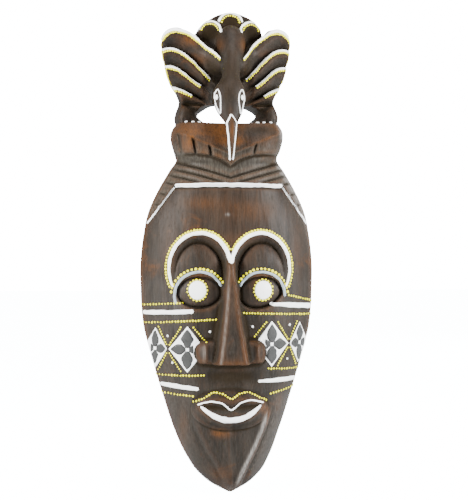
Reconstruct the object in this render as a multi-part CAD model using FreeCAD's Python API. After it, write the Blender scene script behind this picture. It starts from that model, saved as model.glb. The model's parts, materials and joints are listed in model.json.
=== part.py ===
import FreeCAD, Part
import math
import os

# Carved wooden wall mask whose crest is a long-beaked bird, with relief paint and a ring hanger.
# Millimetres. X to the viewer's right, Z up, the face looks along -Y and the wall is the plane Y = 0.
# The origin is the nail in the wall. Heights below are measured up from the tip of the chin.
V = FreeCAD.Vector

# Overall
NAIL_HEIGHT = 335.0
CHIN_OFFSET = 3.0            # the chin tip leans this far to one side, as whittled
RIM_DEPTH = 9.0              # thickness of the mask along its outline
SEAM_HEIGHT = 381.5          # flat joint between the plinth and the bird

# Half width of the mask and depth of its middle line, by height
OUTLINE = [(0, 3), (8, 18), (20, 32), (38, 43.5), (64, 54.5), (102, 67), (150, 81), (170, 86.2),
           (190, 88.6), (212, 89.7), (236, 90), (266, 87), (292, 81.5), (316, 70.5), (334, 60), (347, 52.5), (355, 55.5),
           (368, 58.5), (376, 57.5), (381.5, 54)]
CROWN = [(0, 13), (6, 22), (18, 31), (40, 39), (70, 45), (100, 49), (150, 51), (200, 50),
         (260, 51), (300, 49), (318, 48), (336, 43.5), (347, 42)]

# Plinth under the bird: a V ridge over a notched band
RIDGE_LOW, RIDGE_SLOPE, RIDGE_DEPTH = 349.5, 0.42, 49.0
BAND_LOW, BAND_HIGH, BAND_REACH = 337.0, 350.5, 14.0
NOTCHES = [-47.5, -34.0, -19.0, 23.0]

# Hairline: corner points of the painted step between hair and forehead
HAIRLINE = [(86.0, 276.0), (55.5, 318.0)]
HAIR_RISE = 2.5

# Face features: centre across, centre height, half width, half height
BROW = (31.0, 233.0, 31.0, 36.0)
EYE = (31.5, 207.5, 22.5, 17.0)
LID = (32.0, 205.5, 24.5, 24.0)
MOUND = (32.0, 226.0, 22.0, 31.5)
BALL = (31.5, 208.0, 22.0, 16.5)
NOSE_TOP, NOSE_FOOT, NOSE_RISE = 246.0, 137.0, 27.0
NOSTRIL = (22.5, 148.0, 13.3, 13.0)
MOUTH = (0.0, 90.0, 40.0, 21.0)
CHIN_WEDGE = [(0, 1), (17, 6), (32, 13), (53, 24), (74, 33), (92, 37)]
DISC_PLACE, DISC_RADIUS = (33.5, 211.0), 9.2

# Hollow behind the face: an ellipsoid
HOLLOW_HEIGHT, HOLLOW_OUT = 170.0, 5.0
HOLLOW_RADII = (72.0, 35.0, 115.0)

# Bird: outline of the right half, from the foot's inner corner round to the tail fan
FOOT_IN, FOOT_OUT = 19.0, 53.0
LEG_AND_WING = [(53, 381.5), (54.5, 388), (52.5, 397), (49.5, 405), (53, 413), (59, 424), (63.2, 438),
                (66.3, 454), (67.5, 466), (65, 476), (58, 482), (50, 483.5), (43, 481), (36, 476)]
WINDOW = [(19, 381.5), (25, 386), (31, 392), (24, 398), (13, 402.5), (0, 404)]
FAN_CENTRE, FAN_RADIUS = 461.0, 39.0
FEATHERS = [[(11.5, 446), (20, 456), (33, 469), (46, 477.5), (54, 478.5), (61, 475), (66, 468)],
            [(18.5, 428), (27, 436), (40, 450), (52, 458.5), (59, 459.5), (66, 457)],
            [(28, 420.5), (34, 424.5), (44, 433.5), (52, 439.5), (58, 441), (65, 440)],
            [(36.5, 410.5), (47, 416.5), (58, 420.5)]]
WING_DEPTH, FEATHER_STEP = 25.0, 6.0
LEG_DEPTH, FAN_DEPTH = 26.0, 14.0
BODY = (0.0, 459.0, 18.0, 27.0)
BODY_DEPTH = 44.0
HEAD_CENTRE, HEAD_RADII = (-50.0, 404.5), (17.0, 15.0, 20.0)
BEAK_ROOT, BEAK_TIP = (-55.5, 390.0, 9.0), (-55.5, 341.5, 2.2)
NECK_TOP, NECK_RADII, NECK_LENGTH = (-28.0, 453.0), (12.0, 9.5), 42.0

# Joinery and hanger
DOWEL_RADIUS, DOWEL_LENGTH, DOWEL_PLACE = 4.0, 36.0, (37.0, -14.0)
RECESS_WIDTH, RECESS_LOW, RECESS_HIGH, RECESS_DEPTH = 28.0, 291.0, 344.0, 6.5
PIVOT_HEIGHT = 322.0
PIVOT_Y = -4.0
WIRE_RADIUS, EYE_BORE, EYE_OUTER = 1.1, 1.18, 2.3
RING_RADIUS, RING_SIDE = 10.0, 4.0
STRAP_WIDTH, STRAP_LENGTH, STRAP_THICK = 12.0, 26.0, 0.8
SCREW_HEIGHTS = [314.0, 301.0]
SCREW_RADIUS, SCREW_LENGTH, SCREW_HEAD_RADIUS, SCREW_HEAD = 1.4, 14.0, 2.8, 1.2

# Paint: how far it stands proud of the wood and how deep it sits in it
PROUD, SUNK = 0.8, 1.4
DOT_RADIUS, DOT_PITCH = 1.1, 3.0
SIDES = (-1, 1)


# ---- small helpers ----------------------------------------------------------------------------

def smooth(low, high, value):
    t = min(1.0, max(0.0, (value - low) / (high - low)))
    return t * t * (3.0 - 2.0 * t)


def along(stations, at):
    """Value of a smooth curve through (place, value) stations."""
    if at <= stations[0][0]:
        return float(stations[0][1])
    if at >= stations[-1][0]:
        return float(stations[-1][1])
    n = next(i for i in range(1, len(stations)) if stations[i][0] >= at)
    (x0, y0), (x1, y1) = stations[n - 1], stations[n]
    before = stations[max(0, n - 2)]
    after = stations[min(len(stations) - 1, n + 1)]
    slope0 = (y1 - before[1]) / (x1 - before[0])
    slope1 = (after[1] - y0) / (after[0] - x0)
    d = x1 - x0
    t = (at - x0) / d
    return ((2 * t**3 - 3 * t**2 + 1) * y0 + (t**3 - 2 * t**2 + t) * d * slope0
            + (3 * t**2 - 2 * t**3) * y1 + (t**3 - t**2) * d * slope1)


def inside(x, h, ellipse, side=1):
    """Distance from an ellipse's centre, 1 on its edge."""
    cx, ch, rx, rh = ellipse
    return math.hypot((x - side * cx) / rx, (h - ch) / rh)


def dome(e):
    return math.sqrt(max(0.0, 1.0 - e * e))


def at(x, depth, h):
    """Point from an offset across, a depth in front of the wall and a height above the chin."""
    return V(x, -depth, h - NAIL_HEIGHT)


def curve(points, step=4.0):
    """Evenly spaced points along a smooth line through a few (x, h) points."""
    line = Part.BSplineCurve()
    line.interpolate([V(x, h, 0) for x, h in points])
    count = max(2, int(round(line.length() / step)) + 1)
    return [(p.x, p.y) for p in line.discretize(count)]


def straight(points, step=4.0):
    """Evenly spaced points along straight runs."""
    found = [points[0]]
    for a, b in zip(points, points[1:]):
        count = max(1, int(round(math.dist(a, b) / step)))
        found += [(a[0] + (b[0] - a[0]) * i / count, a[1] + (b[1] - a[1]) * i / count)
                  for i in range(1, count + 1)]
    return found


def arc(ellipse, first, last, side=1, step=4.0):
    """Points on an ellipse between two angles in degrees, measured from its outer side."""
    cx, ch, rx, rh = ellipse
    count = max(3, int(abs(last - first) * math.pi / 180 * (rx + rh) / 2 / step))
    turns = [math.radians(first + (last - first) * i / count) for i in range(count + 1)]
    return [(side * (cx + rx * math.cos(a)), ch + rh * math.sin(a)) for a in turns]


# ---- carved surface of the mask ---------------------------------------------------------------

def centre_line(h):
    return CHIN_OFFSET * (1.0 - smooth(0, 70, h))


def half_width(h):
    return along(OUTLINE, h)


def socket_relief(x, h, side):
    """Eye socket that slopes in from the brow, with the lid's mound and the ball of the eye."""
    brow = inside(x, h, BROW, side)
    eye = inside(x, h, EYE, side)
    lid = inside(x, h, LID, side)
    bowl = -9.0 * smooth(1.0, 0.68, brow) * smooth(198, 214, h)
    mound = 8.5 * dome(inside(x, h, MOUND, side)) ** 0.7 * smooth(200, 214, h)
    rim = 1.5 * math.exp(-((lid - 1.0) / 0.09) ** 2) * smooth(200, 212, h)
    ball = -7.5 + 7.0 * dome(inside(x, h, BALL, side)) ** 0.7
    upper = bowl + mound + rim
    return upper + (ball - upper) * smooth(1.05, 0.96, eye)


def nose_relief(x, h):
    """Long wedge nose with a flat front, cut off square over the lip, with round nostrils."""
    t = (NOSE_TOP - h) / (NOSE_TOP - NOSE_FOOT)
    if t < 0:
        return 0.0
    t = min(1.0, t)
    rise = 5.0 + (NOSE_RISE - 5.0) * t ** 1.1
    flat = 2.5 + 9.0 * t ** 1.6
    slope = 4.0 + 7.0 * t
    wedge = rise * smooth(flat + slope, flat, abs(x)) * smooth(0, 0.1, t)
    side = 1 if x > 0 else -1
    nostril = 12.0 * dome(inside(x, h, NOSTRIL, side)) ** 0.8
    return max(wedge, nostril) * smooth(NOSE_FOOT - 2.5, NOSE_FOOT + 2.0, h)


def mouth_relief(x, h):
    """Muzzle with two full lips, and the hollow between it and the nose."""
    muzzle = 8.0 * dome(inside(x, h, MOUTH)) ** 1.2
    groove = -3.0 * math.exp(-((h - 93 + 0.006 * x * x) / 3.0) ** 2) * smooth(34, 28, abs(x))
    philtrum = -5.0 * math.exp(-((h - 124) / 9.0) ** 2) * smooth(34, 14, abs(x))
    return muzzle + groove + philtrum


def chin_relief(x, h):
    """Raised wedge from the corners of the mouth down to the tip of the chin."""
    edge = along(CHIN_WEDGE, h)
    return 6.0 * smooth(edge + 4.0, edge - 1.0, abs(x - centre_line(h))) * smooth(96, 74, h) \
        * smooth(0, 14, h)


def hair_edge(x):
    """Height of the hairline at an offset from the middle."""
    (x0, h0), (x1, h1) = HAIRLINE
    return min(h1, h1 + (abs(x) - x1) * (h0 - h1) / (x0 - x1))


def band_edge(x):
    """Height of the plinth's lower edge, a shallow V over the hair."""
    return BAND_LOW + (BAND_HIGH - BAND_LOW) * (1.0 - math.exp(-abs(x) / BAND_REACH))


def plinth_depth(x, h):
    """Depth of the notched band below the V ridge and of the facet that leans back above it."""
    ridge = RIDGE_LOW + RIDGE_SLOPE * abs(x)
    depth = RIDGE_DEPTH - 0.15 * max(0.0, ridge - h) - 0.52 * max(0.0, h - ridge)
    notch = max(math.exp(-((x - n) / 1.8) ** 2) for n in NOTCHES)
    return depth - 2.5 * notch * smooth(ridge + 1, ridge - 3, h)


def mask_depth(x, h):
    """How far the carved face stands in front of the wall."""
    off = min(1.0, abs(x - centre_line(h)) / half_width(h))
    boxy = smooth(340, 354, h)
    crown = along(CROWN, h)
    crown += (plinth_depth(x, h) - crown) * smooth(-1.5, 1.5, h - band_edge(x))
    section = (1.0 - off ** (2.3 + 4.0 * boxy)) ** (0.8 - 0.2 * boxy)
    depth = RIM_DEPTH + (crown - RIM_DEPTH) * section
    if h > 290 or abs(x) > 60:
        depth += HAIR_RISE * smooth(-1.0, 1.0, h - hair_edge(x)) * (1.0 - boxy) * section
    features = sum(socket_relief(x, h, s) for s in SIDES if s * x > -4) if 180 < h < 275 else 0.0
    features += nose_relief(x, h) + mouth_relief(x, h) + chin_relief(x, h)
    return max(RIM_DEPTH, depth + features * smooth(1.0, 0.9, off))


# ---- carved surface of the bird ---------------------------------------------------------------

def feather_height(line, x):
    """Height of a feather's upper edge at an offset, run on past its ends."""
    first, last = line[0], line[-1]
    if x < first[0]:
        return first[1] - (first[0] - x) * (line[1][1] - first[1]) / (line[1][0] - first[0])
    return along([(px, ph) for px, ph in line], min(x, last[0]))


def wing_depth(x, h):
    """Four overlapping feathers, each high at its upper edge and falling into a groove."""
    edges = [feather_height(line, x) for line in FEATHERS] + [400.0]
    n = max([i for i in range(4) if h <= edges[i]], default=0)
    t = min(1.0, max(0.0, (edges[n] - h) / max(4.0, edges[n] - edges[n + 1])))
    fall = smooth(0.0, 0.8, t) - smooth(0.86, 1.0, t)
    return WING_DEPTH - 4.0 * smooth(30, 68, x) - FEATHER_STEP * fall


def bird_depth(x, h):
    """How far the bird's back block stands in front of the wall, without its neck and head."""
    ax = abs(x)
    lowest_wing = feather_height(FEATHERS[3], ax) - 14.0
    wing = wing_depth(ax, h) * smooth(lowest_wing - 6, lowest_wing, h)
    leg = LEG_DEPTH * smooth(12, 24, ax) * smooth(lowest_wing + 2, lowest_wing - 6, h)
    above = smooth(1.0, 3.0, h - feather_height(FEATHERS[0], ax) - 2.0)
    depth = max(wing, leg) * (1.0 - above) + FAN_DEPTH * above
    pocket = smooth(30, 16, ax) * smooth(438, 424, h)
    depth += (12.0 - depth) * pocket
    return max(depth, BODY_DEPTH * dome(inside(x, h, BODY)) ** 0.7)


# ---- solids from carved surfaces --------------------------------------------------------------

def spline_knots(count):
    inner = count - 4
    return [float(i) for i in range(inner + 2)], [4] + [1] * inner + [4]


def carved_block(rows):
    """Solid between a carved front, given as rows of poles, and the wall."""
    v_knots, v_mults = spline_knots(len(rows))
    u_knots, u_mults = spline_knots(len(rows[0]))
    surface = Part.BSplineSurface()
    surface.buildFromPolesMultsKnots(rows, v_mults, u_mults, v_knots, u_knots, False, False, 3, 3)
    prism = surface.toShape().extrude(V(0, 120, 0))
    return prism.common(Part.makeBox(400, 200, 800, V(-200, -200, -400)))


def mask_blank():
    rows = []
    heights = [0, 1.5, 4] + [8 + i * (SEAM_HEIGHT - 8) / 84 for i in range(85)]
    for h in heights:
        spread = [math.sin(math.pi / 2 * (-1 + 2 * i / 44)) for i in range(45)]
        xs = [centre_line(h) + half_width(h) * s for s in spread]
        rows.append([at(x, mask_depth(x, h), h) for x in xs])
    return carved_block(rows)


def outline_face():
    """Flat face of the bird's outline, with its window open to the plinth."""
    def flip(points):
        return [(-x, h) for x, h in points]

    def spline(points):
        line = Part.BSplineCurve()
        line.interpolate([at(x, 0, h) for x, h in points])
        return line.toShape()

    def line(a, b):
        return Part.makeLine(at(a[0], 0, a[1]), at(b[0], 0, b[1]))

    fan_end = LEG_AND_WING[-1]
    fan = Part.Arc(at(fan_end[0], 0, fan_end[1]), at(0, 0, FAN_CENTRE + FAN_RADIUS),
                   at(-fan_end[0], 0, fan_end[1])).toShape()
    window = WINDOW + flip(WINDOW[-2::-1])
    edges = [line((FOOT_IN, SEAM_HEIGHT), (FOOT_OUT, SEAM_HEIGHT)), spline(LEG_AND_WING), fan,
             spline(flip(LEG_AND_WING)), line((-FOOT_OUT, SEAM_HEIGHT), (-FOOT_IN, SEAM_HEIGHT)),
             spline(window)]
    return Part.Face(Part.Wire(Part.__sortEdges__(edges)))


def stretched(ball, centre, radii):
    grow = FreeCAD.Matrix()
    grow.scale(V(*radii))
    ball = ball.transformGeometry(grow)
    ball.translate(centre)
    return ball


def ellipsoid(centre, radii):
    return stretched(Part.makeSphere(1.0), centre, radii)


def ribbon(path, half, depth, proud=PROUD, sunk=SUNK):
    """Band of paint of constant or varying half width along (x, h) points on a carved surface."""
    widths = half if isinstance(half, list) else [half] * len(path)
    sections = []
    for i, (x, h) in enumerate(path):
        a, b = path[max(0, i - 1)], path[min(len(path) - 1, i + 1)]
        length = math.dist(a, b)
        nx, nh = (b[1] - a[1]) / length, (a[0] - b[0]) / length
        corners = []
        for side, lift in ((-1, -sunk), (1, -sunk), (1, proud), (-1, proud)):
            px, ph = x + side * nx * widths[i], h + side * nh * widths[i]
            level = (depth(x, h) + depth(px, ph)) / 2
            corners.append(at(px, level + lift, ph))
        sections.append(Part.makePolygon(corners + corners[:1]))
    return Part.makeLoft(sections, True, True)


def dots(path, depth, radius=DOT_RADIUS, pitch=DOT_PITCH):
    """Round beads of paint spaced along (x, h) points on a carved surface."""
    line = Part.makePolygon([V(x, h, 0) for x, h in path])
    count = max(2, int(round(line.Length / pitch)) + 1)
    return [Part.makeSphere(radius, at(p.x, depth(p.x, p.y), p.y))
            for p in line.discretize(count)]


# ---- sub-parts --------------------------------------------------------------------------------

def face_hollow():
    """Part of an ellipsoid in front of the wall, ending flat on it."""
    edge = -math.degrees(math.asin(HOLLOW_OUT / HOLLOW_RADII[1]))
    bowl = Part.makeSphere(1.0, V(0, 0, 0), V(0, 1, 0), -90, edge, 360)
    return stretched(bowl, at(0, -HOLLOW_OUT, HOLLOW_HEIGHT), HOLLOW_RADII)


def mask_body():
    """Face, hair and plinth in one block, hollowed behind, with a recess for the hanger."""
    body = mask_blank()
    body = body.cut(face_hollow())
    recess = Part.makeBox(RECESS_WIDTH, RECESS_DEPTH + 5, RECESS_HIGH - RECESS_LOW,
                          at(-RECESS_WIDTH / 2, RECESS_DEPTH, RECESS_LOW))
    return body.cut(Part.makeCompound([recess, dowel_pair()] + screw_shanks()))


def bird_crest():
    """Bird with spread wings and tail fan, standing on two legs, beak down over the plinth."""
    columns = [-72 + 144 * i / 48 for i in range(49)]
    rows = [[at(x, bird_depth(x, h), h) for x in columns]
            for h in [SEAM_HEIGHT - 4 + i * 128 / 42 for i in range(43)]]
    block = carved_block(rows)
    bird = block.common(outline_face().extrude(V(0, -90, 0)))
    head_y, head_h = HEAD_CENTRE
    head = ellipsoid(at(0, -head_y, head_h), HEAD_RADII)
    neck_y, neck_h = NECK_TOP
    thick, thin = NECK_RADII
    run = V(0, head_y - neck_y, head_h - neck_h)
    neck = Part.makeCone(thick, thin, NECK_LENGTH, at(0, -neck_y, neck_h), run)
    root_y, root_h, root_r = BEAK_ROOT
    tip_y, tip_h, tip_r = BEAK_TIP
    root, tip = at(0, -root_y, root_h), at(0, -tip_y, tip_h)
    beak = Part.makeCone(root_r, tip_r, (tip - root).Length, root, tip - root)
    bird = bird.fuse([neck, head, beak])
    return bird.cut(dowel_pair()).removeSplitter()


def dowel_pair():
    x, y = DOWEL_PLACE
    low = SEAM_HEIGHT - DOWEL_LENGTH / 2
    return Part.makeCompound([
        Part.makeCylinder(DOWEL_RADIUS, DOWEL_LENGTH, at(s * x, -y, low)) for s in SIDES])


def screw_shanks():
    top = RECESS_DEPTH - STRAP_THICK
    return [Part.makeCylinder(SCREW_RADIUS, SCREW_LENGTH, at(0, top, h), V(0, -1, 0))
            for h in SCREW_HEIGHTS]


def hanger_screws():
    """Two slotted wood screws, their heads on the strap."""
    made = []
    top = RECESS_DEPTH - STRAP_THICK
    for shank, h in zip(screw_shanks(), SCREW_HEIGHTS):
        head = Part.makeCone(SCREW_HEAD_RADIUS, SCREW_HEAD_RADIUS * 0.7, SCREW_HEAD,
                             at(0, top, h), V(0, 1, 0))
        slot = Part.makeBox(8, 0.6, 0.7, at(-4, top - SCREW_HEAD + 0.6, h - 0.35))
        made.append(shank.fuse(head).cut(slot))
    return Part.makeCompound(made)


def hanger_strap():
    """Strap on the recess floor, rolled round the ring's bar at its upper end."""
    floor = -RECESS_DEPTH
    strap = Part.makeBox(STRAP_WIDTH, STRAP_THICK, STRAP_LENGTH,
                         V(-STRAP_WIDTH / 2, floor, PIVOT_HEIGHT - NAIL_HEIGHT - STRAP_LENGTH))
    pivot = V(-STRAP_WIDTH / 2, PIVOT_Y, PIVOT_HEIGHT - NAIL_HEIGHT)
    roll = Part.makeCylinder(EYE_OUTER, STRAP_WIDTH, pivot, V(1, 0, 0))
    strap = strap.fuse(roll).cut(Part.makeCylinder(EYE_BORE, STRAP_WIDTH, pivot, V(1, 0, 0)))
    return strap.cut(Part.makeCompound(screw_shanks())).removeSplitter()


def hanger_ring():
    """D-shaped wire ring, hanging down from the strap's roll."""
    z = PIVOT_HEIGHT - NAIL_HEIGHT
    w = RING_RADIUS
    low = z - RING_SIDE
    ring = Part.makeCylinder(WIRE_RADIUS, 2 * w, V(-w, PIVOT_Y, z), V(1, 0, 0))
    bow = Part.makeTorus(w, WIRE_RADIUS, V(0, PIVOT_Y, low), V(0, -1, 0))
    bow = bow.common(Part.makeBox(4 * w, 4 * w, 4 * w, V(-2 * w, -2 * w, low - 4 * w)))
    pieces = [bow]
    for s in SIDES:
        pieces.append(Part.makeSphere(WIRE_RADIUS, V(s * w, PIVOT_Y, z)))
        pieces.append(Part.makeCylinder(WIRE_RADIUS, RING_SIDE, V(s * w, PIVOT_Y, low)))
    return ring.fuse(pieces).removeSplitter()


# ---- paint on the mask ------------------------------------------------------------------------
# Left and right bands differ a little in height, as painted by hand. Each entry is
# (side, inner offset, inner height, outer height).

WHITE_BARS = [(-1, 40, 189.5, 187.5), (1, 40, 197, 193.5), (-1, 32, 111, 114), (1, 28, 118.5, 118.5)]
DOT_ROWS = [(-1, 48, 198, 195.5), (1, 61, 205.5, 199), (-1, 15, 181.5, 177), (1, 13, 188, 185),
            (-1, 27, 125, 123.5), (1, 39, 131, 129), (-1, 38, 103.5, 105), (1, 42, 105, 110)]
DIAMOND_HALF = (18.5, 23.5)
DIAMONDS = [(-43.5, 151.0), (42.5, 156.0)]
OUTER_GAP = 31.5             # from a whole diamond's centre to that of the one cut by the outline
OUTER_WIDE, OUTER_TALL = 0.62, 0.92     # size of the cut diamonds next to the whole ones
PETAL_LONG, PETAL_WIDE = (19.5, 15.0), (4.6, 4.0)
LIP_DOTS = [(-37, 98), (-27, 102.5), (-17, 108), (-8, 106.5), (0, 102), (8, 106.5), (17, 108),
            (27, 103.5), (37, 99)]
UPPER_LIP = [(-34, 95.5), (-20, 99.5), (-10, 98), (0, 91), (10, 98.5), (20, 100.5), (34, 97)]
LOWER_LIP = [(-31, 94), (-26, 90.5), (-15, 84), (0, 81), (15, 84), (26, 91), (31, 95)]


def rim_x(side, h, back=4.0):
    return side * (half_width(h) - back)


def paint_hairline():
    (x0, h0), (x1, h1) = HAIRLINE
    top = straight([(-x1, h1), (x1, h1)], 6)
    sides = [straight([(s * x1, h1 - 2.5), (s * (x0 - 5), h0 + 7)], 6) for s in SIDES]
    return [ribbon(top, 2.0, mask_depth)] + [ribbon(s, 1.2, mask_depth) for s in sides]


def paint_brow_lines():
    return [ribbon(arc(BROW, -32, 172, s), 1.8, mask_depth) for s in SIDES]


def paint_eyelid_lines():
    return [ribbon(arc(LID, -6, 158, s), 1.4, mask_depth) for s in SIDES]


def paint_eye_discs():
    x, h = DISC_PLACE
    discs = []
    for s in SIDES:
        front = mask_depth(s * x, h)
        discs.append(Part.makeCylinder(DISC_RADIUS, 6.0, at(s * x, front + PROUD, h), V(0, 1, 0)))
    return discs


def paint_cheek_bars():
    made = []
    for side, inner, h_in, h_out in WHITE_BARS:
        path = straight([(side * inner, h_in), (rim_x(side, h_out), h_out)], 6)
        made.append(ribbon(path, 2.3, mask_depth))
    return made


def diamond_centres():
    """Whole diamonds, then the ones that the outline cuts."""
    whole = [(x, h, 1.0, 1.0) for x, h in DIAMONDS]
    return whole + [(x + math.copysign(OUTER_GAP, x), h, OUTER_WIDE, OUTER_TALL) for x, h in DIAMONDS]


def nostril_edge(h):
    """Outer side of the nostril's lump, which the paint stops at."""
    x, height, wide, tall = NOSTRIL
    return x + 1.0 + wide * dome(abs(h - height) / tall)


def paint_diamonds():
    """White diamonds, as bands across at each height."""
    made = []
    wide, tall = DIAMOND_HALF
    for cx, ch, scale_wide, scale_tall in diamond_centres():
        sections = []
        for i in range(9):
            t = -0.97 + 1.94 * i / 8
            h = ch + t * tall * scale_tall
            reach = wide * scale_wide * (1 - abs(t))
            limit = half_width(h) - 3.0
            out = math.copysign(1, cx)
            inner = max(out * cx - reach, nostril_edge(h))
            outer = min(out * cx + reach, limit)
            left, right = sorted((out * inner, out * outer))
            if outer - inner < 0.8:
                continue
            xs = [left + (right - left) * j / 4 for j in range(5)]
            low = [at(x, mask_depth(x, h) - SUNK, h) for x in xs]
            high = [at(x, mask_depth(x, h) + PROUD * 0.6, h) for x in reversed(xs)]
            sections.append(Part.makePolygon(low + high + low[:1]))
        made.append(Part.makeLoft(sections, True, True))
    return made


def paint_petals():
    """Four grey petals in each diamond."""
    made = []
    for cx, ch, scale_wide, scale_tall in diamond_centres():
        long_up, long_across = PETAL_LONG[0] * scale_tall, PETAL_LONG[1] * scale_wide
        for dx, dh, reach in ((0, 1, long_up), (0, -1, long_up), (1, 0, long_across), (-1, 0, long_across)):
            ends = [1.5 + (reach - 1.5) * i / 6 for i in range(7)]
            path = [(cx + dx * e, ch + dh * e) for e in ends]
            fullest = PETAL_WIDE[0] * scale_wide if dh else PETAL_WIDE[1] * scale_tall
            widths = [0.4 + fullest * math.sin(math.pi * i / 6) for i in range(7)]
            clear = all(nostril_edge(h) + 1 < abs(x) < half_width(h) - 3 for x, h in path)
            if clear:
                made.append(ribbon(path, widths, mask_depth, PROUD, 0.2))
    return made


def paint_lip_lines():
    return [ribbon(curve(UPPER_LIP), 0.9, mask_depth), ribbon(curve(LOWER_LIP), 2.2, mask_depth)]


def paint_specks():
    """Single white spots between the diamonds."""
    spots = [(-63, 164.5), (-21, 169.5), (-58, 137), (22, 174), (62, 175), (60, 140)]
    return [Part.makeSphere(1.3, at(x, mask_depth(x, h), h)) for x, h in spots]


def grown(ellipse, by):
    return ellipse[0], ellipse[1], ellipse[2] + by, ellipse[3] + by


def dots_brow():
    made = []
    for s in SIDES:
        made += dots(arc(grown(BROW, 3.6), -28, 150, s, 2), mask_depth)
    return made


def dots_eyelid():
    made = []
    for s in SIDES:
        made += dots(arc(grown(LID, 3.2), 8, 150, s, 2), mask_depth)
    return made


def dots_eye_ring():
    x, h = DISC_PLACE
    ring = (x, h, DISC_RADIUS + 1.9, DISC_RADIUS + 1.9)
    made = []
    for s in SIDES:
        made += dots(arc(ring, 0, 342, s, 2), mask_depth, 0.9, 3.3)
    return made


def dots_cheek():
    made = []
    for side, inner, h_in, h_out in DOT_ROWS:
        path = straight([(side * inner, h_in), (rim_x(side, h_out), h_out)])
        made += dots(path, mask_depth)
    return made


def dots_diamond():
    """Rows beside the sides of the diamonds, crossing between neighbours."""
    made = []
    wide, tall = DIAMOND_HALF
    for cx, ch in DIAMONDS:
        out = math.copysign(1, cx)
        between = cx + out * (wide + 0.8)
        for up in SIDES:
            far = ch + up * tall * 0.95
            near = ch + up * 4.5
            made += dots([(between - out * 1.6, near), (cx + out * 6.0, far)], mask_depth, 0.9)
            made += dots([(between + out * 1.2, near), (between + out * 9.0, far)], mask_depth, 0.9)
        made += dots([(cx - out * 6.0, ch + tall * 0.95), (cx - out * 18.0, ch + 8)], mask_depth, 0.9)
    return made


def dots_lip():
    return dots(curve(LIP_DOTS, 2), mask_depth)


# ---- paint on the bird ------------------------------------------------------------------------

def paint_wing_lines():
    made = []
    for line in FEATHERS:
        for s in SIDES:
            made.append(ribbon([(s * x, h) for x, h in curve(line, 6)], 1.5, bird_depth))
    return made


def dots_wing():
    made = []
    for line in FEATHERS:
        for s in SIDES:
            made += dots([(s * (x - 0.6), h - 3.3) for x, h in curve(line, 3)], bird_depth, 0.9)
    return made


def paint_wing_edges():
    """Yellow line down the outer edge of each wing."""
    edge = [(64.0, 466), (63.2, 454), (60.4, 439), (56.2, 425), (50.4, 414)]
    return [ribbon([(s * x, h) for x, h in curve(edge, 6)], 1.0, bird_depth) for s in SIDES]


FAN_ARCS = [(0.0, 488.0, 12.0, 10.0), (21.5, 479.5, 11.0, 9.5), (-21.5, 479.5, 11.0, 9.5)]


def paint_fan_arcs():
    return [ribbon(arc(a, 5, 175), 1.2, bird_depth) for a in FAN_ARCS]


def dots_fan():
    made = []
    for a in FAN_ARCS:
        made += dots(arc(grown(a, -2.6), 8, 172, 1, 2), bird_depth, 0.8, 2.6)
    return made


def beak_front(x, h):
    """Depth of the beak's front line at a height."""
    t = (BEAK_ROOT[1] - h) / (BEAK_ROOT[1] - BEAK_TIP[1])
    radius = BEAK_ROOT[2] + (BEAK_TIP[2] - BEAK_ROOT[2]) * t
    middle = -BEAK_ROOT[0] + (BEAK_ROOT[0] - BEAK_TIP[0]) * t
    return middle + math.sqrt(max(0.2, radius**2 - x**2))


def head_front(x, h):
    e = inside(x, h, (0.0, HEAD_CENTRE[1], HEAD_RADII[0], HEAD_RADII[2]))
    return -HEAD_CENTRE[0] + HEAD_RADII[1] * dome(e)


def snout_front(x, h):
    return max(beak_front(x, h), head_front(x, h))


def paint_beak_lines():
    """White V over the root of the beak, run down both of its edges."""
    made = []
    for s in SIDES:
        path = straight([(s * 0.6, 387), (s * 5.0, 379), (s * 1.5, 343.5)], 8)
        made.append(ribbon(path, 0.5, snout_front))
    return made


def paint_bird_eyes():
    """Almond outlines and pupils on the sides of the head."""
    made = []
    for s in SIDES:
        ring = (12.0, 402.0, 2.8, 9.5)
        path = arc(ring, 60, 400, s, 2)
        made.append(ribbon(path, 0.6, head_front))
        made.append(Part.makeSphere(1.8, at(s * 12.0, head_front(12.0, 404.0), 404.0)))
    return made


def paint_claws():
    """White dashes for the toes at the foot of each leg."""
    made = []
    for s in SIDES:
        for x in (22.5, 28.5, 35.0, 42.0):
            path = [(s * x, 383.6), (s * (x + 3.2), 383.4)]
            made.append(ribbon(path, 0.8, bird_depth))
    return made


WHOLE = {
    "mask_body": mask_body,
    "bird_crest": bird_crest,
    "crest_dowels": dowel_pair,
    "hanger_strap": hanger_strap,
    "hanger_ring": hanger_ring,
    "hanger_screws": hanger_screws,
}
GROUPS = {
    "hairline_paint": paint_hairline,
    "brow_line_paint": paint_brow_lines,
    "eyelid_line_paint": paint_eyelid_lines,
    "eye_disc_paint": paint_eye_discs,
    "cheek_bar_paint": paint_cheek_bars,
    "cheek_diamond_paint": paint_diamonds,
    "diamond_petal_paint": paint_petals,
    "lip_line_paint": paint_lip_lines,
    "cheek_speck_paint": paint_specks,
    "brow_dots": dots_brow,
    "eyelid_dots": dots_eyelid,
    "eye_ring_dots": dots_eye_ring,
    "cheek_dots": dots_cheek,
    "diamond_dots": dots_diamond,
    "lip_dots": dots_lip,
    "wing_line_paint": paint_wing_lines,
    "wing_edge_paint": paint_wing_edges,
    "wing_dots": dots_wing,
    "tail_arc_paint": paint_fan_arcs,
    "tail_dots": dots_fan,
    "beak_line_paint": paint_beak_lines,
    "bird_eye_paint": paint_bird_eyes,
    "claw_paint": paint_claws,
}


def main():
    os.makedirs("parts", exist_ok=True)
    for name, make in WHOLE.items():
        save(name, make())
    for name, make in GROUPS.items():
        save(name, Part.makeCompound(make()))


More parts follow.
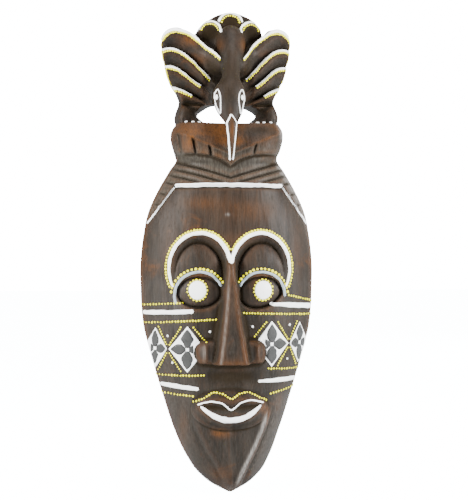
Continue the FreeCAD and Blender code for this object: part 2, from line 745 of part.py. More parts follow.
def save(name, shape):
    solids = Part.makeCompound(shape.Solids)
    solids.exportStep("parts/%s.step" % name)
    box = solids.BoundBox
    print("%-20s %3d solids %10.0f mm3 valid %s  %.1f x %.1f x %.1f" % (
        name, len(shape.Solids), solids.Volume, solids.isValid(), box.XLength, box.YLength, box.ZLength))


main()
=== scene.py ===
import json
import math
import random

import bmesh
import bpy
import numpy as np
from mathutils import Matrix, Vector, noise
from mathutils.bvhtree import BVHTree


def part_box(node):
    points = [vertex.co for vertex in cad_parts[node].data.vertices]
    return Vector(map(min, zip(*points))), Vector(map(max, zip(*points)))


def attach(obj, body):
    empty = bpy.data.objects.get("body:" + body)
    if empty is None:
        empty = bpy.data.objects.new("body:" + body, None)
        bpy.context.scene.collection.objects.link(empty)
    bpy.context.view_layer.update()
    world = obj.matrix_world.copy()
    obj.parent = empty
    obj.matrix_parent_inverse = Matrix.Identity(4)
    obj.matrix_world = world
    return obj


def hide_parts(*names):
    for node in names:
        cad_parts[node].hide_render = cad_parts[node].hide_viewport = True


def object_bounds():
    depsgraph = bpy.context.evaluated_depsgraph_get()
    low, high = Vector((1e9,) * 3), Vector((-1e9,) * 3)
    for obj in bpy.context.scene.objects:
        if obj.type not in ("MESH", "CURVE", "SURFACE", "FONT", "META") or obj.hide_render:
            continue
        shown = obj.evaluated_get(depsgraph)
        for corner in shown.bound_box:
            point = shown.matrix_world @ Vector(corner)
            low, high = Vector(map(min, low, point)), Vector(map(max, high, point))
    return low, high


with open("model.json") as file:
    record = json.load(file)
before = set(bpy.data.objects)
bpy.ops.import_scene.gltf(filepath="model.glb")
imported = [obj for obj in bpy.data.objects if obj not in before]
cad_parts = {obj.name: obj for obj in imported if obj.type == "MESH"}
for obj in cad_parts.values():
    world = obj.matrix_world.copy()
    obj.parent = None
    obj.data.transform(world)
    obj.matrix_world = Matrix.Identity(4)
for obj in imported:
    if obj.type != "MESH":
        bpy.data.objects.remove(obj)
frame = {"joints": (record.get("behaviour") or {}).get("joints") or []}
cadLow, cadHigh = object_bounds()
print("frame loaded")

# Lengths below are in millimetres. Heights are measured up from the tip of the chin,
# depths forward from the wall, which is the plane y = 0.
mm = 0.001
random.seed(7)
chinZ = cadLow.z
seamHeight = (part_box("mask_body")[1].z - chinZ) / mm
topHeight = (cadHigh.z - chinZ) / mm
sides = (-1, 1)


def place(x, depth, height):
    return Vector((x * mm, -depth * mm, chinZ + height * mm))


def smooth(low, high, value):
    t = np.clip((value - low) / (high - low), 0.0, 1.0)
    return t * t * (3.0 - 2.0 * t)


def dome(e):
    return np.sqrt(np.clip(1.0 - e * e, 0.0, 1.0))


def bump(distance, width):
    return np.exp(-(distance / width) ** 2)


# A smooth curve through (place, value) stations, as a function that takes arrays.
def stationCurve(stations):
    places = np.array([s[0] for s in stations], float)
    values = np.array([s[1] for s in stations], float)
    slopes = np.gradient(values, places)
    dense = np.linspace(places[0], places[-1], 1500)
    n = np.clip(np.searchsorted(places, dense, side="right") - 1, 0, len(places) - 2)
    d = places[n + 1] - places[n]
    t = (dense - places[n]) / d
    made = ((2 * t**3 - 3 * t**2 + 1) * values[n] + (t**3 - 2 * t**2 + t) * d * slopes[n]
            + (3 * t**2 - 2 * t**3) * values[n + 1] + (t**3 - t**2) * d * slopes[n + 1])
    return lambda at: np.interp(at, dense, made)


def fromCentre(x, height, ellipse, side=1):
    cx, ch, rx, rh = ellipse
    return np.hypot((x - side * cx) / rx, (height - ch) / rh)


# Paths as lists of (x, height)
def arcPath(ellipse, first, last, side=1, step=1.0):
    cx, ch, rx, rh = ellipse
    count = max(6, int(abs(last - first) * math.pi / 180 * (rx + rh) / 2 / step))
    turns = [math.radians(first + (last - first) * i / count) for i in range(count + 1)]
    return [(side * (cx + rx * math.cos(a)), ch + rh * math.sin(a)) for a in turns]


def straightPath(points, step=1.0):
    found = [points[0]]
    for a, b in zip(points, points[1:]):
        count = max(1, int(round(math.dist(a, b) / step)))
        found += [(a[0] + (b[0] - a[0]) * i / count, a[1] + (b[1] - a[1]) * i / count)
                  for i in range(1, count + 1)]
    return found


def lengthsAlong(points):
    return np.concatenate([[0], np.cumsum([math.dist(a, b) for a, b in zip(points, points[1:])])])


def curvePath(points, step=1.0):
    lengths = lengthsAlong(points)
    count = max(4, int(lengths[-1] / step))
    at = np.linspace(0, lengths[-1], count + 1)
    xs = stationCurve(list(zip(lengths, [p[0] for p in points])))(at)
    hs = stationCurve(list(zip(lengths, [p[1] for p in points])))(at)
    return list(zip(xs.tolist(), hs.tolist()))


def mirrored(path, side):
    return [(side * x, h) for x, h in path]


def spacedAlong(path, pitch):
    lengths = lengthsAlong(path)
    count = max(1, int(round(lengths[-1] / pitch)))
    at = np.linspace(0, lengths[-1], count + 1)
    return list(zip(np.interp(at, lengths, [p[0] for p in path]).tolist(),
                    np.interp(at, lengths, [p[1] for p in path]).tolist()))


# ---- materials

def nodeSet(tree, kind, **values):
    node = tree.nodes.new(kind)
    for name, value in values.items():
        if hasattr(node, name) and name not in node.inputs.keys():
            setattr(node, name, value)
        else:
            node.inputs[name].default_value = value
    return node


def newGroup(name, inputs, outputs):
    group = bpy.data.node_groups.new(name, "ShaderNodeTree")
    kinds = {"float": "NodeSocketFloat", "color": "NodeSocketColor", "vector": "NodeSocketVector"}
    for label, kind, value in inputs:
        made = group.interface.new_socket(label, in_out="INPUT", socket_type=kinds[kind])
        made.default_value = value
    for label, kind in outputs:
        group.interface.new_socket(label, in_out="OUTPUT", socket_type=kinds[kind])
    return group, group.nodes.new("NodeGroupInput"), group.nodes.new("NodeGroupOutput")


def mathNode(tree, operation, first, second, clamp=False):
    node = tree.nodes.new("ShaderNodeMath")
    node.operation = operation
    node.use_clamp = clamp
    for socket, value in zip(node.inputs, (first, second)):
        if isinstance(value, (int, float)):
            socket.default_value = value
        else:
            tree.links.new(value, socket)
    return node.outputs[0]


def rampNode(tree, fac, low, high, smoothed=True):
    node = tree.nodes.new("ShaderNodeMapRange")
    node.interpolation_type = "SMOOTHSTEP" if smoothed else "LINEAR"
    node.inputs["From Min"].default_value = low
    node.inputs["From Max"].default_value = high
    tree.links.new(fac, node.inputs["Value"])
    return node.outputs["Result"]


def mixColor(tree, fac, first, second, blend="MIX"):
    node = tree.nodes.new("ShaderNodeMix")
    node.data_type = "RGBA"
    node.blend_type = blend
    for socket, value in ((node.inputs[0], fac), (node.inputs[6], first), (node.inputs[7], second)):
        if isinstance(value, (int, float, tuple)):
            socket.default_value = value
        else:
            tree.links.new(value, socket)
    return node.outputs[2]


def noiseNode(tree, vector, scale, detail=3.0, rough=0.55, distort=0.0):
    node = tree.nodes.new("ShaderNodeTexNoise")
    node.inputs["Scale"].default_value = scale
    node.inputs["Detail"].default_value = detail
    node.inputs["Roughness"].default_value = rough
    node.inputs["Distortion"].default_value = distort
    tree.links.new(vector, node.inputs["Vector"])
    return node.outputs["Fac"]


def stretchedCoords(tree, source, scale, turn=(0, 0, 0)):
    node = tree.nodes.new("ShaderNodeMapping")
    node.inputs["Scale"].default_value = scale
    node.inputs["Rotation"].default_value = turn
    tree.links.new(source, node.inputs["Vector"])
    return node.outputs["Vector"]


# Grain that runs up the block: broad figure, fine fibres and short dark pores
def makeGrainGroup():
    group, start, end = newGroup(
        "woodGrain", [("Vector", "vector", (0, 0, 0)), ("Fineness", "float", 1.0)],
        [("Figure", "float"), ("Fibre", "float"), ("Pores", "float")])
    scaled = group.nodes.new("ShaderNodeVectorMath")
    scaled.operation = "SCALE"
    group.links.new(start.outputs["Vector"], scaled.inputs[0])
    group.links.new(start.outputs["Fineness"], scaled.inputs["Scale"])
    base = scaled.outputs[0]
    figure = noiseNode(group, stretchedCoords(group, base, (60, 60, 7), (0.05, 0.07, 0)), 1.0, 4, 0.6, 0.6)
    fibre = noiseNode(group, stretchedCoords(group, base, (900, 700, 28), (0.03, 0.04, 0)), 1.0, 4, 0.65)
    pores = noiseNode(group, stretchedCoords(group, base, (1500, 1100, 90), (0.02, 0.03, 0)), 1.0, 2, 0.5)
    group.links.new(figure, end.inputs["Figure"])
    group.links.new(fibre, end.inputs["Fibre"])
    group.links.new(rampNode(group, pores, 0.56, 0.7), end.inputs["Pores"])
    return group


# Where hands and the polishing cloth have rubbed, and the painted shade, with some grime, that darkens the
# hollows
def makeWearGroup():
    group, start, end = newGroup(
        "rubWear",
        [("Vector", "vector", (0, 0, 0)), ("Ridge", "float", 0.0), ("Hollow", "float", 0.0),
         ("Amount", "float", 1.0)],
        [("Rubbed", "float"), ("DirtAndShade", "float")])
    blotch = noiseNode(group, start.outputs["Vector"], 34, 4, 0.62, 0.5)
    fleck = noiseNode(group, stretchedCoords(group, start.outputs["Vector"], (500, 500, 60)), 1.0, 3, 0.6)
    edge = mathNode(group, "MULTIPLY", start.outputs["Ridge"], start.outputs["Amount"])
    patch = rampNode(group, blotch, 0.57, 0.78)
    soft = mathNode(group, "MULTIPLY", patch, 0.55)
    both = mathNode(group, "ADD", edge, soft)
    broken = mathNode(group, "MULTIPLY", both, mathNode(group, "ADD", fleck, 0.25), True)
    group.links.new(broken, end.inputs["Rubbed"])
    # painted shade with grime: darker where the surface lies hollow, broken up by blotches
    grimeAndShade = mathNode(group, "MULTIPLY", start.outputs["Hollow"], mathNode(group, "ADD", blotch, 0.5), True)
    group.links.new(grimeAndShade, end.inputs["DirtAndShade"])
    return group


# Brush drag and thin spots in thick paint
def makePaintGroup():
    group, start, end = newGroup(
        "reliefPaint",
        [("Vector", "vector", (0, 0, 0)), ("Color", "color", (1, 1, 1, 1)), ("Thin", "color", (0, 0, 0, 1)),
         ("Patchiness", "float", 0.3)],
        [("Color", "color"), ("Roughness", "float"), ("Height", "float")])
    drag = noiseNode(group, start.outputs["Vector"], 900, 3, 0.6)
    cloud = noiseNode(group, start.outputs["Vector"], 160, 3, 0.6)
    thin = mathNode(group, "MULTIPLY", rampNode(group, cloud, 0.55, 0.8), start.outputs["Patchiness"])
    shade = mixColor(group, thin, start.outputs["Color"], start.outputs["Thin"])
    group.links.new(shade, end.inputs["Color"])
    rough = mathNode(group, "MULTIPLY_ADD", drag, 0.25)
    rough.node.inputs[2].default_value = 0.3
    group.links.new(rough, end.inputs["Roughness"])
    height = mathNode(group, "ADD", mathNode(group, "MULTIPLY", drag, 0.4), cloud)
    group.links.new(height, end.inputs["Height"])
    return group


grainGroup = makeGrainGroup()
wearGroup = makeWearGroup()
paintGroup = makePaintGroup()


def startMaterial(name):
    made = bpy.data.materials.new(name)
    made.use_nodes = True
    tree = made.node_tree
    coords = tree.nodes.new("ShaderNodeTexCoord")
    return made, tree, tree.nodes["Principled BSDF"], coords.outputs["Object"]


def useGroup(tree, group, coords, **values):
    node = tree.nodes.new("ShaderNodeGroup")
    node.node_tree = group
    tree.links.new(coords, node.inputs["Vector"])
    for name, value in values.items():
        node.inputs[name].default_value = value
    return node


def addBump(tree, shader, height, strength, distance):
    node = tree.nodes.new("ShaderNodeBump")
    node.inputs["Strength"].default_value = strength
    node.inputs["Distance"].default_value = distance
    tree.links.new(height, node.inputs["Height"])
    tree.links.new(node.outputs["Normal"], shader.inputs["Normal"])


# crevice colours the pores and the painted shade, with grime, in hollows; pale colours the painted highlights
# and sheen and a chip
stainedWood = {
    "dark": (0.0056, 0.0048, 0.0040, 1), "mid": (0.0185, 0.0145, 0.0115, 1),
    "red": (0.088, 0.031, 0.0060, 1), "crevice": (0.0092, 0.0052, 0.0011, 1),
    "dust": (0.050, 0.044, 0.035, 1), "pale": (0.17, 0.155, 0.14, 1),
    "roughness": 0.46, "gloss": 0.09, "bump": 0.3, "poreDepth": 0.0002, "fibreHeight": 0.5, "poreHeight": 0.7,
    # how much of each is laid on: rubbing, fibres, pores, and the least of dust and of painted sheen between
    # fibres
    "rub": 0.8, "fibreShare": 0.2, "poreShare": 0.7, "leastDust": 0.35, "leastPale": 0.4,
}


def makeStainedWood():
    s = stainedWood
    made, tree, shader, coords = startMaterial("stainedWood")
    ridge = nodeSet(tree, "ShaderNodeAttribute", attribute_name="ridge")
    hollow = nodeSet(tree, "ShaderNodeAttribute", attribute_name="hollow")
    dusty = nodeSet(tree, "ShaderNodeAttribute", attribute_name="dusty")
    pale = nodeSet(tree, "ShaderNodeAttribute", attribute_name="pale")
    grain = useGroup(tree, grainGroup, coords, Fineness=1.0)
    wear = useGroup(tree, wearGroup, coords, Amount=s["rub"])
    tree.links.new(ridge.outputs["Fac"], wear.inputs["Ridge"])
    tree.links.new(hollow.outputs["Fac"], wear.inputs["Hollow"])
    color = mixColor(tree, rampNode(tree, grain.outputs["Figure"], 0.32, 0.68), s["dark"], s["mid"])
    fibre = rampNode(tree, grain.outputs["Fibre"], 0.35, 0.75)
    color = mixColor(tree, mathNode(tree, "MULTIPLY", fibre, s["fibreShare"]), color, s["mid"])
    cover = mathNode(tree, "MULTIPLY", dusty.outputs["Fac"], mathNode(tree, "ADD", fibre, s["leastDust"]), True)
    color = mixColor(tree, cover, color, s["dust"])
    color = mixColor(tree, wear.outputs["Rubbed"], color, s["red"])
    pores = mathNode(tree, "MULTIPLY", grain.outputs["Pores"], s["poreShare"])
    color = mixColor(tree, pores, color, s["crevice"])
    # painted shade with grime in the hollows
    color = mixColor(tree, wear.outputs["DirtAndShade"], color, s["crevice"])
    # painted highlights and sheen, and a paler chip
    paleShare = mathNode(tree, "MULTIPLY", pale.outputs["Fac"], mathNode(tree, "ADD", fibre, s["leastPale"]), True)
    color = mixColor(tree, paleShare, color, s["pale"])
    tree.links.new(color, shader.inputs["Base Color"])
    rough = mathNode(tree, "MULTIPLY", grain.outputs["Fibre"], 0.28)
    rough = mathNode(tree, "ADD", rough, s["roughness"] - 0.12)
    rough = mathNode(tree, "ADD", rough, mathNode(tree, "MULTIPLY", wear.outputs["DirtAndShade"], 0.3), True)
    tree.links.new(rough, shader.inputs["Roughness"])
    height = mathNode(tree, "SUBTRACT", mathNode(tree, "MULTIPLY", grain.outputs["Fibre"], s["fibreHeight"]),
                      mathNode(tree, "MULTIPLY", grain.outputs["Pores"], s["poreHeight"]))
    addBump(tree, shader, height, s["bump"], s["poreDepth"])
    shader.inputs["Specular IOR Level"].default_value = s["gloss"]
    return made


paintFinish = {"bump": 0.5, "depth": 0.0002, "gloss": 0.3, "mattGloss": 0.1, "coatRoughness": 0.25}


def makePaint(name, color, thin, patchiness, coat=0.1):
    p = paintFinish
    made, tree, shader, coords = startMaterial(name)
    paint = useGroup(tree, paintGroup, coords, Color=color, Thin=thin, Patchiness=patchiness)
    tree.links.new(paint.outputs["Color"], shader.inputs["Base Color"])
    tree.links.new(paint.outputs["Roughness"], shader.inputs["Roughness"])
    addBump(tree, shader, paint.outputs["Height"], p["bump"], p["depth"])
    shader.inputs["Specular IOR Level"].default_value = p["gloss"] if coat else p["mattGloss"]
    shader.inputs["Coat Weight"].default_value = coat
    shader.inputs["Coat Roughness"].default_value = p["coatRoughness"]
    return made


bareWood = {"pale": (0.50, 0.34, 0.20, 1), "dark": (0.30, 0.18, 0.09, 1), "pore": (0.16, 0.09, 0.05, 1),
            "fineness": 1.4, "poreShare": 0.6, "roughness": 0.6, "bump": 0.4, "depth": 0.0001}


def makeBareWood():
    b = bareWood
    made, tree, shader, coords = startMaterial("bareWood")
    grain = useGroup(tree, grainGroup, coords, Fineness=b["fineness"])
    color = mixColor(tree, grain.outputs["Figure"], b["pale"], b["dark"])
    pores = mathNode(tree, "MULTIPLY", grain.outputs["Pores"], b["poreShare"])
    color = mixColor(tree, pores, color, b["pore"])
    tree.links.new(color, shader.inputs["Base Color"])
    shader.inputs["Roughness"].default_value = b["roughness"]
    addBump(tree, shader, grain.outputs["Fibre"], b["bump"], b["depth"])
    return made


zincSteel = {"pale": (0.62, 0.63, 0.64, 1), "dark": (0.42, 0.43, 0.43, 1), "roughness": 0.22,
             "streaks": 0.25, "bump": 0.2, "depth": 0.00005}


def makeZincSteel():
    z = zincSteel
    made, tree, shader, coords = startMaterial("zincSteel")
    streak = noiseNode(tree, stretchedCoords(tree, coords, (300, 2500, 2500)), 1.0, 4, 0.6)
    spangle = noiseNode(tree, coords, 420, 2, 0.5)
    color = mixColor(tree, spangle, z["pale"], z["dark"])
    tree.links.new(color, shader.inputs["Base Color"])
    shader.inputs["Metallic"].default_value = 1.0
    rough = mathNode(tree, "ADD", mathNode(tree, "MULTIPLY", streak, z["streaks"]), z["roughness"])
    tree.links.new(rough, shader.inputs["Roughness"])
    addBump(tree, shader, streak, z["bump"], z["depth"])
    return made


materials = {
    "stained_wood": makeStainedWood(),
    "bare_wood": makeBareWood(),
    "white_paint": makePaint("whitePaint", (0.93, 0.93, 0.92, 1), (0.60, 0.58, 0.55, 1), 0.3),
    "pale_grey_paint": makePaint("lidPaint", (0.25, 0.295, 0.33, 1), (0.09, 0.095, 0.10, 1), 0.6),
    "grey_paint": makePaint("petalPaint", (0.038, 0.038, 0.037, 1), (0.015, 0.013, 0.012, 1), 0.7, 0.0),
    "yellow_paint": makePaint("yellowPaint", (0.76, 0.70, 0.0004, 1), (0.56, 0.46, 0.0004, 1), 0.4, 0.0),
    "steel": makeZincSteel(),
}
print("materials made")


# ---- helpers for finished pieces

def addObject(name, data):
    made = bpy.data.objects.new(name, data)
    bpy.context.scene.collection.objects.link(made)
    return made


def finishPiece(bm, name, slotName, nodes, body="mask", weld=1e-6, sharp=None):
    bmesh.ops.remove_doubles(bm, verts=bm.verts, dist=weld)
    bmesh.ops.recalc_face_normals(bm, faces=bm.faces)
    mesh = bpy.data.meshes.new(name)
    bm.to_mesh(mesh)
    bm.free()
    mesh.polygons.foreach_set("use_smooth", [True] * len(mesh.polygons))
    if sharp:
        mesh.set_sharp_from_angle(angle=math.radians(sharp))
    piece = addObject(name, mesh)
    mesh.materials.append(materials[slotName])
    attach(piece, body)
    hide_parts(*nodes)
    return piece


def vertexArray(mesh, field):
    values = np.zeros(len(mesh.vertices) * 3)
    mesh.vertices.foreach_get(field, values)
    return values.reshape(-1, 3)


def neighbourMean(field, edges, counts):
    total = np.zeros_like(field)
    np.add.at(total, edges[:, 0], field[edges[:, 1]])
    np.add.at(total, edges[:, 1], field[edges[:, 0]])
    return total / counts


# Shares of the near and far surroundings in wear and in the painted shade with grime
relief = {"ridgeNear": 0.3, "ridgeFar": 0.25, "hollowNear": 0.8, "hollowFar": 0.14}


# Stores how far each point stands above or below its surroundings, for wear and for painted shade with grime.
# The spot list gives the places most handled and, with strength below 0, places of painted shade: x, height,
# half width, half height and strength.
def markRidges(mesh, near, far, nearScale, farScale, wearAndShade, dusting, paling):
    count = len(mesh.vertices)
    points, normals = vertexArray(mesh, "co"), vertexArray(mesh, "normal")
    edges = np.zeros(len(mesh.edges) * 2, int)
    mesh.edges.foreach_get("vertices", edges)
    edges = edges.reshape(-1, 2)
    counts = np.maximum(np.bincount(edges.ravel(), minlength=count), 1)[:, None]
    softened = points.copy()
    for step in range(far):
        softened = neighbourMean(softened, edges, counts)
        if step == near - 1:
            small = ((points - softened) * normals).sum(1)
    large = ((points - softened) * normals).sum(1)
    nearRise, farRise = small / (nearScale * mm), large / (farScale * mm)
    ridge = np.clip(nearRise, 0, 1) * relief["ridgeNear"] + np.clip(farRise, 0, 1) * relief["ridgeFar"]
    # hollow places are darkened by the material as painted shade with grime
    hollow = np.clip(-nearRise, 0, 1) * relief["hollowNear"] + np.clip(-farRise, 0, 1) * relief["hollowFar"]
    x, h = points[:, 0] / mm, (points[:, 2] - chinZ) / mm
    front = (points[:, 1] < -5 * mm) & (normals[:, 1] < 0.2)
    for spotX, spotH, wide, tall, strength in wearAndShade:
        spot = strength * bump(np.hypot((x - spotX) / wide, (h - spotH) / tall), 0.8) * front
        ridge = ridge + np.maximum(spot, 0)
        hollow = hollow - np.minimum(spot, 0)
    carved = smooth(0.2, 1.2, -points[:, 1] / mm)
    found = {"ridge": ridge * carved, "hollow": hollow * carved,
             "dusty": dusting(x, h) * front, "pale": paling(x, h) * front}
    for name, values in found.items():
        layer = mesh.attributes.new(name, "FLOAT", "POINT")
        layer.data.foreach_set("value", np.clip(values, 0, 1).astype(np.float32))


def castTree(*pieces):
    whole = bmesh.new()
    for piece in pieces:
        whole.from_mesh(piece.data)
    tree = BVHTree.FromBMesh(whole)
    whole.free()
    return tree


# The carved front at (x, height): point and outward normal
def onSurface(tree, x, height):
    start = place(x, 150, height)
    hit, normal = tree.ray_cast(start, Vector((0, 1, 0)), 0.149)[:2]
    if hit is None:
        hit, normal = tree.find_nearest(place(x, 15, height))[:2]
    if normal.y > 0:
        normal = -normal
    return hit, normal


# ---- the carved mask

mask = {
    "columns": 196, "rows": 372, "rimDepth": 9.0, "chinOffset": 3.0, "hairRise": 2.6,
    "outline": [(0, 3), (8, 18), (20, 32), (38, 43.5), (64, 54.5), (102, 67), (150, 81), (170, 86.2),
                (190, 88.6), (212, 89.7), (236, 90), (266, 87), (292, 81.5), (316, 70.5), (334, 60),
                (347, 52.5), (355, 55.5), (368, 58.5), (376, 57.5), (381.5, 54)],
    "crown": [(0, 13), (6, 22), (18, 31), (40, 39), (70, 45), (100, 49), (150, 51), (200, 50),
              (260, 51), (300, 49), (318, 48), (336, 43.5), (347, 42)],
    "brow": (31.0, 233.0, 31.0, 36.0), "eye": (31.5, 208.5, 22.5, 15.8), "lid": (32.0, 205.5, 24.5, 24.0),
    "mound": (32.0, 226.0, 23.5, 32.5),
    "ball": (31.5, 209.0, 22.0, 15.3), "nostril": (22.5, 148.0, 13.3, 13.0), "mouth": (0.0, 90.0, 40.0, 21.0),
    "noseTop": 246.0, "noseFoot": 137.0, "noseRise": 27.0,
    "chinWedge": [(0, 1), (17, 6), (32, 13), (53, 24), (74, 33), (92, 37)],
    "hairline": [(86.0, 276.0), (55.5, 318.0)],
    "hairGrooves": [324.5, 317.0, 309.5, 300.5, 287.5, 274.5, 262.5], "grooveSlope": 0.32, "grooveDepth": 2.7,
    "notches": [-47.5, -34.0, -19.0, 23.0], "chiselMarks": 0.55,
    # the spots with negative strength paint shade under and beside the nose and in the mouth, and darken the
    # plinth's right top
    "wearAndShade": [(-22, 373, 28, 7, 1.7), (-2, 362, 28, 7, 1.2), (38, 364, 12, 8, 0.4), (33, 374, 14, 5, -0.5),
             (-42, 360, 7, 8, 0.9), (-27, 352, 5, 7, 0.4), (-12, 348, 5, 6, 0.4),
             (-30, 300, 26, 9, 0.4), (24, 292, 30, 12, 0.3), (4, 262, 30, 10, 0.35), (-62, 250, 10, 40, 0.3),
             (70, 250, 8, 30, 0.25), (-47, 68, 6, 26, 0.3), (-8, 66, 12, 6, 0.7), (13, 152, 4, 18, 0.4),
             (22, 160, 5, 8, 0.3), (0, 292, 60, 26, 0.2), (0, 122, 26, 9, -1.0), (0, 96, 30, 5, -0.3),
             (-17, 172, 8, 14, -0.5), (24, 172, 8, 12, -0.6), (-30, 225, 12, 8, 0.4), (30, 222, 12, 8, 0.5),
             (-8, 22, 14, 10, 0.4),
             (52, 96, 6, 12, 0.3), (4, 130, 16, 4, 0.3)],
}
halfWidth = stationCurve(mask["outline"])
crownDepth = stationCurve(mask["crown"])
wedgeWidth = stationCurve(mask["chinWedge"])


def centreLine(h):
    return mask["chinOffset"] * (1.0 - smooth(0, 70, h))


def socketRelief(x, h, side):
    brow = fromCentre(x, h, mask["brow"], side)
    # the right eye's outer corner sits higher
    raised = h - 0.17 * (x - mask["eye"][0]) * smooth(214, 202, h) * (side > 0)
    eye = fromCentre(x, raised, mask["eye"], side)
    lid = fromCentre(x, h, mask["lid"], side)
    mound = fromCentre(x, h, mask["mound"], side)
    outward = 0.72 * smooth(2, 20, side * x - 31) * smooth(258, 234, h)
    bowl = -9.0 * smooth(1.0, 0.62, brow) * smooth(198, 214, h) * (1.0 - outward)
    upper = bowl + 8.5 * dome(mound) ** 0.75 * smooth(198, 212, h) * (1.0 - outward)
    upper = upper - 0.8 * bump(mound - 1.0, 0.03) * smooth(226, 240, h)
    upper = upper + 1.5 * bump(lid - 1.0, 0.085) * smooth(200, 212, h)
    ball = -6.0 + 5.9 * dome(fromCentre(x, raised, mask["ball"], side)) ** 0.85
    return upper + (ball - upper) * smooth(1.06, 0.97, eye)


# 0 at the root of the nose, 1 at its foot
def alongNose(h):
    return np.clip((mask["noseTop"] - h) / (mask["noseTop"] - mask["noseFoot"]), 0.0, 1.0)


def noseRelief(x, h):
    t = alongNose(h)
    rise = 5.0 + (mask["noseRise"] - 5.0) * t ** 1.1
    flat = 2.4 + 11.3 * t ** 1.7
    slope = 4.0 + 5.0 * t
    ramp = np.clip((flat + slope - np.abs(x)) / slope, 0, 1)
    wedge = rise * (0.3 * ramp + 0.7 * smooth(0, 1, ramp)) * smooth(0, 0.1, t)
    wingX, wingH, wide, tall = mask["nostril"]
    wing = ((np.abs(np.abs(x) - wingX) / wide) ** 2.8 + (np.abs(h - wingH) / tall) ** 2.8) ** (1 / 2.8)
    lump = 11.0 * dome(wing) ** 0.7 * (1.0 - 0.16 * np.clip((h - wingH) / tall, -1, 1))
    lump = lump + 1.8 * np.clip(1 - np.abs(np.abs(x) - 26.5) / 4.0, 0, 1) * smooth(0.95, 0.6, wing)
    crease = -0.9 * bump(wing - 1.05, 0.06) * smooth(10, 18, np.abs(x))
    foot = smooth(mask["noseFoot"] - 1.6, mask["noseFoot"] + 0.9, h)
    return np.maximum(wedge, lump) * foot + crease * foot


def mouthRelief(x, h):
    muzzle = 8.0 * dome(fromCentre(x, h, mask["mouth"])) ** 1.2
    across = smooth(38, 30, np.abs(x))
    upper = 2.4 * bump(h - 102 + 0.0055 * x * x + 3.2 * bump(x, 5.0), 4.2) * across
    lower = 2.6 * bump(h - 81 - 0.010 * x * x, 4.6) * across
    gap = -1.8 * bump(h - 92.0 - 0.0035 * x * x, 3.4) * smooth(35, 29, np.abs(x))
    under = -1.8 * bump(h - 71.5 - 0.012 * x * x, 3.6) * smooth(32, 20, np.abs(x))
    philtrum = -5.0 * bump(h - 124, 9.0) * smooth(34, 14, np.abs(x))
    return muzzle + upper + lower + gap + under + philtrum


def chinRelief(x, h):
    edge = wedgeWidth(h)
    off = np.abs(x - centreLine(h))
    right = smooth(-3, 3, x - centreLine(h))
    soft = 3.8 * smooth(edge + 8.0, edge - 2.0, off) - 1.1 * bump(off - edge - 5.0, 2.6)
    facet = (2.0 + 3.2 * np.clip(off / np.maximum(edge, 1), 0, 1) ** 2) * smooth(edge + 8.0, edge + 4.6, off)
    trench = -1.0 * right * bump(off - edge - 9.0, 2.2)
    keel = 2.2 * (1 - np.clip(off / np.maximum(edge, 1), 0, 1)) * smooth(60, 20, h)
    return (soft + (facet - soft) * right + trench + keel) * smooth(98, 76, h) * smooth(0, 14, h)


def hairEdge(x):
    (x0, h0), (x1, h1) = mask["hairline"]
    return np.minimum(h1, h1 + (np.abs(x) - x1) * (h0 - h1) / (x0 - x1))


def hairRelief(x, h):
    above = h - hairEdge(x)
    cap = smooth(-0.8, 0.8, above)
    cut = np.zeros_like(h)
    for base in mask["hairGrooves"]:
        away = h - base - mask["grooveSlope"] * np.abs(x)
        cut = np.maximum(cut, bump(away, 1.2) + 0.3 * bump(away - 1.8, 1.8))
    return mask["hairRise"] * cap - mask["grooveDepth"] * cut * smooth(1.5, 4.0, above)


def foreheadStep(x, h):
    below = hairEdge(x) - h
    return -1.3 * smooth(4.6, 2.8, below) * smooth(-0.5, 0.8, below)


plinth = {"ridge": 349.5, "ridgeSlope": 0.42, "depth": 49.0, "fallBelow": 0.15, "fallAbove": 0.52,
          "notchDepth": 4.2, "notchHalf": 1.5, "rightNotch": 0.55}


def plinthDepth(x, h):
    p = plinth
    ridge = p["ridge"] + p["ridgeSlope"] * np.abs(x)
    depth = (p["depth"] - p["fallBelow"] * np.clip(ridge - h, 0, None)
             - p["fallAbove"] * np.clip(h - ridge, 0, None))
    depth += 0.9 * bump(h - ridge + 0.6, 1.3)
    notch = np.zeros_like(h)
    for n in mask["notches"]:
        strength = 1.0 if n < 0 else p["rightNotch"]
        notch = np.maximum(notch, strength * bump(x - n - math.copysign(0.2, n) * (h - 345), p["notchHalf"]))
    return depth - p["notchDepth"] * notch * smooth(ridge + 0.5, ridge - 2.5, h)


def maskDepth(x, h):
    off = np.clip(np.abs(x - centreLine(h)) / halfWidth(h), 0, 1)
    boxy = smooth(340, 354, h)
    band = 337.0 + 13.5 * (1.0 - np.exp(-np.abs(x) / 14.0))
    crown = crownDepth(h)
    crown = crown + (plinthDepth(x, h) - crown) * smooth(-1.1, 1.1, h - band)
    section = (1.0 - off ** (2.45 + 3.85 * boxy)) ** (0.8 - 0.2 * boxy)
    depth = mask["rimDepth"] + (crown - mask["rimDepth"]) * section
    depth = depth + (hairRelief(x, h) * (1.0 - boxy) + foreheadStep(x, h)) * np.minimum(1, section * 2.5)
    lift = noseRelief(x, h) * (h < 250) + mouthRelief(x, h) + chinRelief(x, h)
    for side in sides:
        lift = lift + socketRelief(x, h, side) * (side * x > -4) * (h > 180) * (h < 276)
    return np.maximum(mask["rimDepth"], depth + lift * smooth(1.0, 0.9, off))


# Shallow facets and drag lines of the chisel, as a change of depth
def chiselMark(x, h):
    facet = noise.noise(Vector((x * 0.11, h * 0.055, 3.1)))
    fine = noise.noise(Vector((x * 0.5, h * 0.09, 9.7)))
    return mask["chiselMarks"] * (0.75 * facet + 0.3 * fine)


